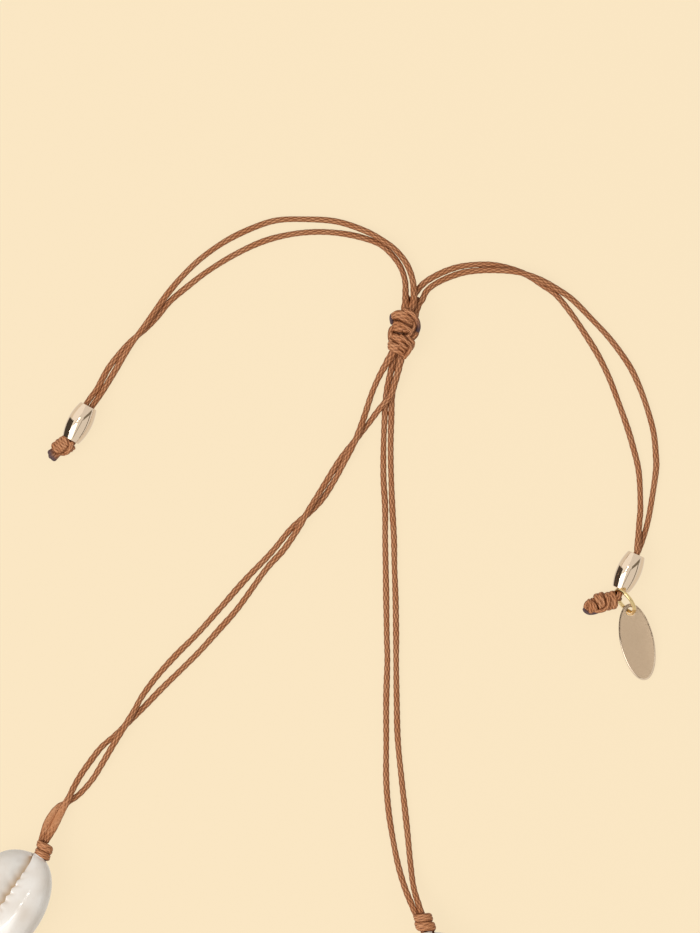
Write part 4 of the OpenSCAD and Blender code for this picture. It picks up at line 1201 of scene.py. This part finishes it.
class NECKLACE_OT_tag(bpy.types.Operator):
    """Stamps the plain oval tag: a slightly dished satin face, a polished rim and a hole for the ring"""
    bl_idname = "necklace.tag"
    bl_label = "Tag"

    def execute(self, context):
        metal = settings().metal
        length, width, thick, hole = (v / MM for v in (metal.tag_length, metal.tag_width,
                                                       metal.tag_thickness, metal.tag_hole))
        bm = bmesh.new()
        outer = bmesh.ops.create_circle(bm, segments=TAG_SIDES, radius=0.5)["verts"]
        bmesh.ops.scale(bm, vec=(length, width, 1), verts=outer)
        inner = bmesh.ops.create_circle(bm, segments=TAG_SIDES, radius=hole / 2)["verts"]
        bmesh.ops.translate(bm, vec=(TAG_HOLE_PLACE - length / 2, 0, 0), verts=inner)
        bridges = bmesh.ops.bridge_loops(bm, edges=bm.edges[:])["edges"]
        bmesh.ops.subdivide_edges(bm, edges=bridges, cuts=14, use_grid_fill=True)
        bmesh.ops.translate(bm, vec=(0, 0, -thick / 2), verts=bm.verts)
        raised = bmesh.ops.extrude_face_region(bm, geom=bm.faces[:])["geom"]
        raised = [part for part in raised if isinstance(part, bmesh.types.BMVert)]
        bmesh.ops.translate(bm, vec=(0, 0, thick), verts=raised)
        bmesh.ops.recalc_face_normals(bm, faces=bm.faces)
        bmesh.ops.bevel(bm, geom=sharp_edges(bm, 1.2), offset=TAG_RIM, segments=6, profile=0.5,
                        affect="EDGES", material=1)
        for vert in bm.verts:
            inward = max(0, 1 - (2 * vert.co.x / length) ** 2 - (2 * vert.co.y / width) ** 2)
            vert.co.z -= TAG_DISH * inward
        # One end lies on the floor, and the ring holds the other up.
        lean = math.radians(TAG_LEAN)
        height = length / 2 * math.sin(lean) + thick / 2
        place = node_place("tag", height) @ Matrix.Rotation(lean, 4, "Y")
        satin = material_named("satin_pale_gold_plate", lambda: gold_material(
            "satin_pale_gold_plate", metal.satin_colour, 0.3, 0.000004))
        finish_piece(STANDS_FOR["tag"], bm, place, [satin, polished_gold()], ["tag"],
                     sharp_degrees=40)
        return {"FINISHED"}


def floor_material():
    """A light table's matt cream top: lit from below as well as from above, so shadows on it stay faint."""
    stage = settings().stage
    material, tree, shader = new_material("matt_cream_light_table")
    place = node_in(tree, "ShaderNodeTexCoord")
    # Paper fibres 0.3 mm across, almost too faint to see
    fibres = node_in(tree, "ShaderNodeTexNoise", {"Vector": place.outputs["Object"], "Scale": 3000.0,
                                                  "Detail": 2.0})
    bump = node_in(tree, "ShaderNodeBump", {"Height": fibres.outputs["Fac"], "Strength": 0.03,
                                            "Distance": 0.00001})
    tree.links.new(bump.outputs["Normal"], shader.inputs["Normal"])
    shader.inputs["Base Color"].default_value = solid([c * (1 - stage.floor_glow) for c in stage.floor_colour])
    shader.inputs["Emission Color"].default_value = solid(stage.floor_colour)
    shader.inputs["Emission Strength"].default_value = stage.floor_glow
    shader.inputs["Roughness"].default_value = 0.95
    shader.inputs["Specular IOR Level"].default_value = 0.0
    return material


# The stage, in metres: the place that lights and cards face, half the floor's width, and its height, just under
# the necklace so that the two don't touch
STAGE_MIDDLE = (0.01, 0.03, 0)
FLOOR_HALF_WIDTH = 6.0
FLOOR_HEIGHT = -0.00003


def facing_stage(place, along):
    """The matrix that puts a light or card at its place, with its back to the stage's middle and its length
    along the given direction."""
    back = (Vector(place) - Vector(STAGE_MIDDLE)).normalized()
    along = (Vector(along) - back * back.dot(Vector(along))).normalized()
    return Matrix.Translation(place) @ Matrix((along, back.cross(along), back)).transposed().to_4x4()


def softbox(name, radiance, size, place, along=(1, 0, 0), seen_by="reflections"):
    """A soft light of even brightness that isn't itself in the picture. It lights surfaces or shows in their
    reflections."""
    data = bpy.data.lights.new(name, "AREA")
    data.shape = "RECTANGLE"
    data.size, data.size_y = size
    data.energy = radiance * math.pi * size[0] * size[1]
    lamp = bpy.data.objects.new(name, data)
    lamp.matrix_world = facing_stage(place, along)
    lamp.visible_camera = False
    lamp.visible_diffuse = seen_by != "reflections"
    lamp.visible_glossy = seen_by != "surfaces"
    bpy.context.scene.collection.objects.link(lamp)


def flag(name, colour, size, place, along):
    """A card on the stage that is seen only in reflections, where it gives metal its darker bands. It glows
    with its own colour instead of being lit. Its length lies along the given direction and its face looks at
    the necklace."""
    material, _, shader = new_material(name + "_card")
    shader.inputs["Base Color"].default_value = solid((0, 0, 0))
    shader.inputs["Emission Color"].default_value = solid(linear(colour))
    shader.inputs["Emission Strength"].default_value = 1.0
    shader.inputs["Specular IOR Level"].default_value = 0.0
    bm = bmesh.new()
    bmesh.ops.create_grid(bm, x_segments=1, y_segments=1, size=0.5)
    bmesh.ops.scale(bm, vec=(*size, 1), verts=bm.verts)
    bmesh.ops.transform(bm, matrix=facing_stage(place, along), verts=bm.verts)
    card = mesh_object(name, bm, [material])
    card.visible_camera = card.visible_diffuse = card.visible_shadow = False


class NECKLACE_OT_stage(bpy.types.Operator):
    """Lays the plain floor and sets up the soft lights"""
    bl_idname = "necklace.stage"
    bl_label = "Floor and Lights"

    def execute(self, context):
        stage = settings().stage
        bm = bmesh.new()
        bmesh.ops.create_grid(bm, x_segments=1, y_segments=1, size=FLOOR_HALF_WIDTH)
        bmesh.ops.translate(bm, vec=(0, 0, FLOOR_HEIGHT), verts=bm.verts)
        floor = mesh_object("floor", bm, [floor_material()])
        # The floor is seen, but its glow doesn't reach the necklace, whose undersides stay dark.
        floor.visible_glossy = floor.visible_diffuse = False
        world = bpy.data.worlds.new("even_sky")
        world.use_nodes = True
        tree = world.node_tree
        sky = tree.nodes["Background"]
        way = node_in(tree, "ShaderNodeTexCoord")
        height = node_in(tree, "ShaderNodeSeparateXYZ", {"Vector": way.outputs["Generated"]})
        above = node_in(tree, "ShaderNodeMapRange", {"Value": height.outputs["Z"], "From Min": -0.1,
                                                     "From Max": 0.1, "To Min": 0.0, "To Max": 1.0})
        even = node_in(tree, "ShaderNodeMix", {"Factor": above.outputs["Result"],
                                               "A": stage.ground_strength,
                                               "B": stage.sky_strength}, data_type="FLOAT")
        tint = node_in(tree, "ShaderNodeMix", {"Factor": above.outputs["Result"],
                                               "A": (1.0, 0.93, 0.82, 1.0),
                                               "B": (1.0, 0.985, 0.96, 1.0)}, data_type="RGBA")
        ray = node_in(tree, "ShaderNodeLightPath")
        strength = node_in(tree, "ShaderNodeMix", {"Factor": ray.outputs["Is Glossy Ray"],
                                                   "A": even.outputs["Result"],
                                                   "B": stage.sky_shine}, data_type="FLOAT")
        tree.links.new(strength.outputs["Result"], sky.inputs["Strength"])
        tree.links.new(tint.outputs["Result"], sky.inputs["Color"])
        context.scene.world = world
        softbox("key_softbox", stage.key_radiance, (0.95, 0.95), (-0.72, -0.23, 1.04), seen_by="surfaces")
        softbox("shine_softbox", stage.shine_radiance, (0.95, 0.95), (-0.75, -0.22, 1.02))
        # A long narrow light and two small ones show as a streak and two sparks on the shells.
        softbox("streak_light", 9.0, (0.84, 0.055), (-0.85, 0.15, 1.01), (0.884, 0.185, 0.43))
        softbox("spark_light_1", 17.0, (0.06, 0.06), (-0.485, 0.34, 1.19))
        softbox("spark_light_2", 13.0, (0.08, 0.08), (-0.363, 0.446, 1.19))
        softbox("pale_panel", 0.2, (1.3, 1.3), (-0.77, 0.87, 0.58))
        flag("black_flag", "#4A443F", (1.5, 0.85), (-1.0, 0.13, -0.08), (0, 0, 1))
        flag("dark_rail", "#7C7569", (1.3, 0.2), (0.86, 0.13, 0.85), (-0.71, 0.02, 0.71))
        flag("dark_arm", "#857E72", (0.95, 0.1), (0.05, -0.28, 1.07), (0.48, 0.86, 0.18))
        flag("dark_edge", "#6E675C", (1.3, 0.16), (1.04, -0.46, 0.38), (0.4, 0.83, 0.39))
        context.scene.view_settings.view_transform = "Standard"
        return {"FINISHED"}


class NECKLACE_PT_panel(bpy.types.Panel):
    """Lists the steps that build the necklace"""
    bl_label = "Necklace"
    bl_idname = "NECKLACE_PT_panel"
    bl_space_type = "VIEW_3D"
    bl_region_type = "UI"
    bl_category = "Necklace"

    def draw(self, context):
        for step in STEPS:
            self.layout.operator(step.bl_idname)
        for group in ("cord", "shell", "metal", "stage"):
            box = self.layout.box()
            values = getattr(context.scene.necklace, group)
            for key in values.bl_rna.properties.keys():
                if key not in ("rna_type", "name"):
                    box.prop(values, key)


STEPS = (NECKLACE_OT_camera, NECKLACE_OT_strands, NECKLACE_OT_small_knots, NECKLACE_OT_end_knots,
         NECKLACE_OT_slide_knot, NECKLACE_OT_shell_thread, NECKLACE_OT_shells, NECKLACE_OT_beads,
         NECKLACE_OT_ring, NECKLACE_OT_tag, NECKLACE_OT_stage)
CLASSES = (CordSettings, ShellSettings, MetalSettings, StageSettings, NecklaceSettings, *STEPS,
           NECKLACE_PT_panel)


def register():
    """Adds the necklace's classes and settings to Blender."""
    for cls in CLASSES:
        bpy.utils.register_class(cls)
    bpy.types.Scene.necklace = bpy.props.PointerProperty(type=NecklaceSettings)


def unregister():
    """Takes the necklace's classes and settings out again."""
    del bpy.types.Scene.necklace
    for cls in reversed(CLASSES):
        bpy.utils.unregister_class(cls)


def main():
    """Builds the whole necklace and its stage."""
    register()
    bpy.ops.necklace.camera()
    bpy.ops.necklace.strands()
    bpy.ops.necklace.small_knots()
    bpy.ops.necklace.end_knots()
    bpy.ops.necklace.slide_knot()
    bpy.ops.necklace.shell_thread()
    bpy.ops.necklace.shells()
    bpy.ops.necklace.beads()
    bpy.ops.necklace.ring()
    bpy.ops.necklace.tag()
    bpy.ops.necklace.stage()


if __name__ == "__main__":
    main()
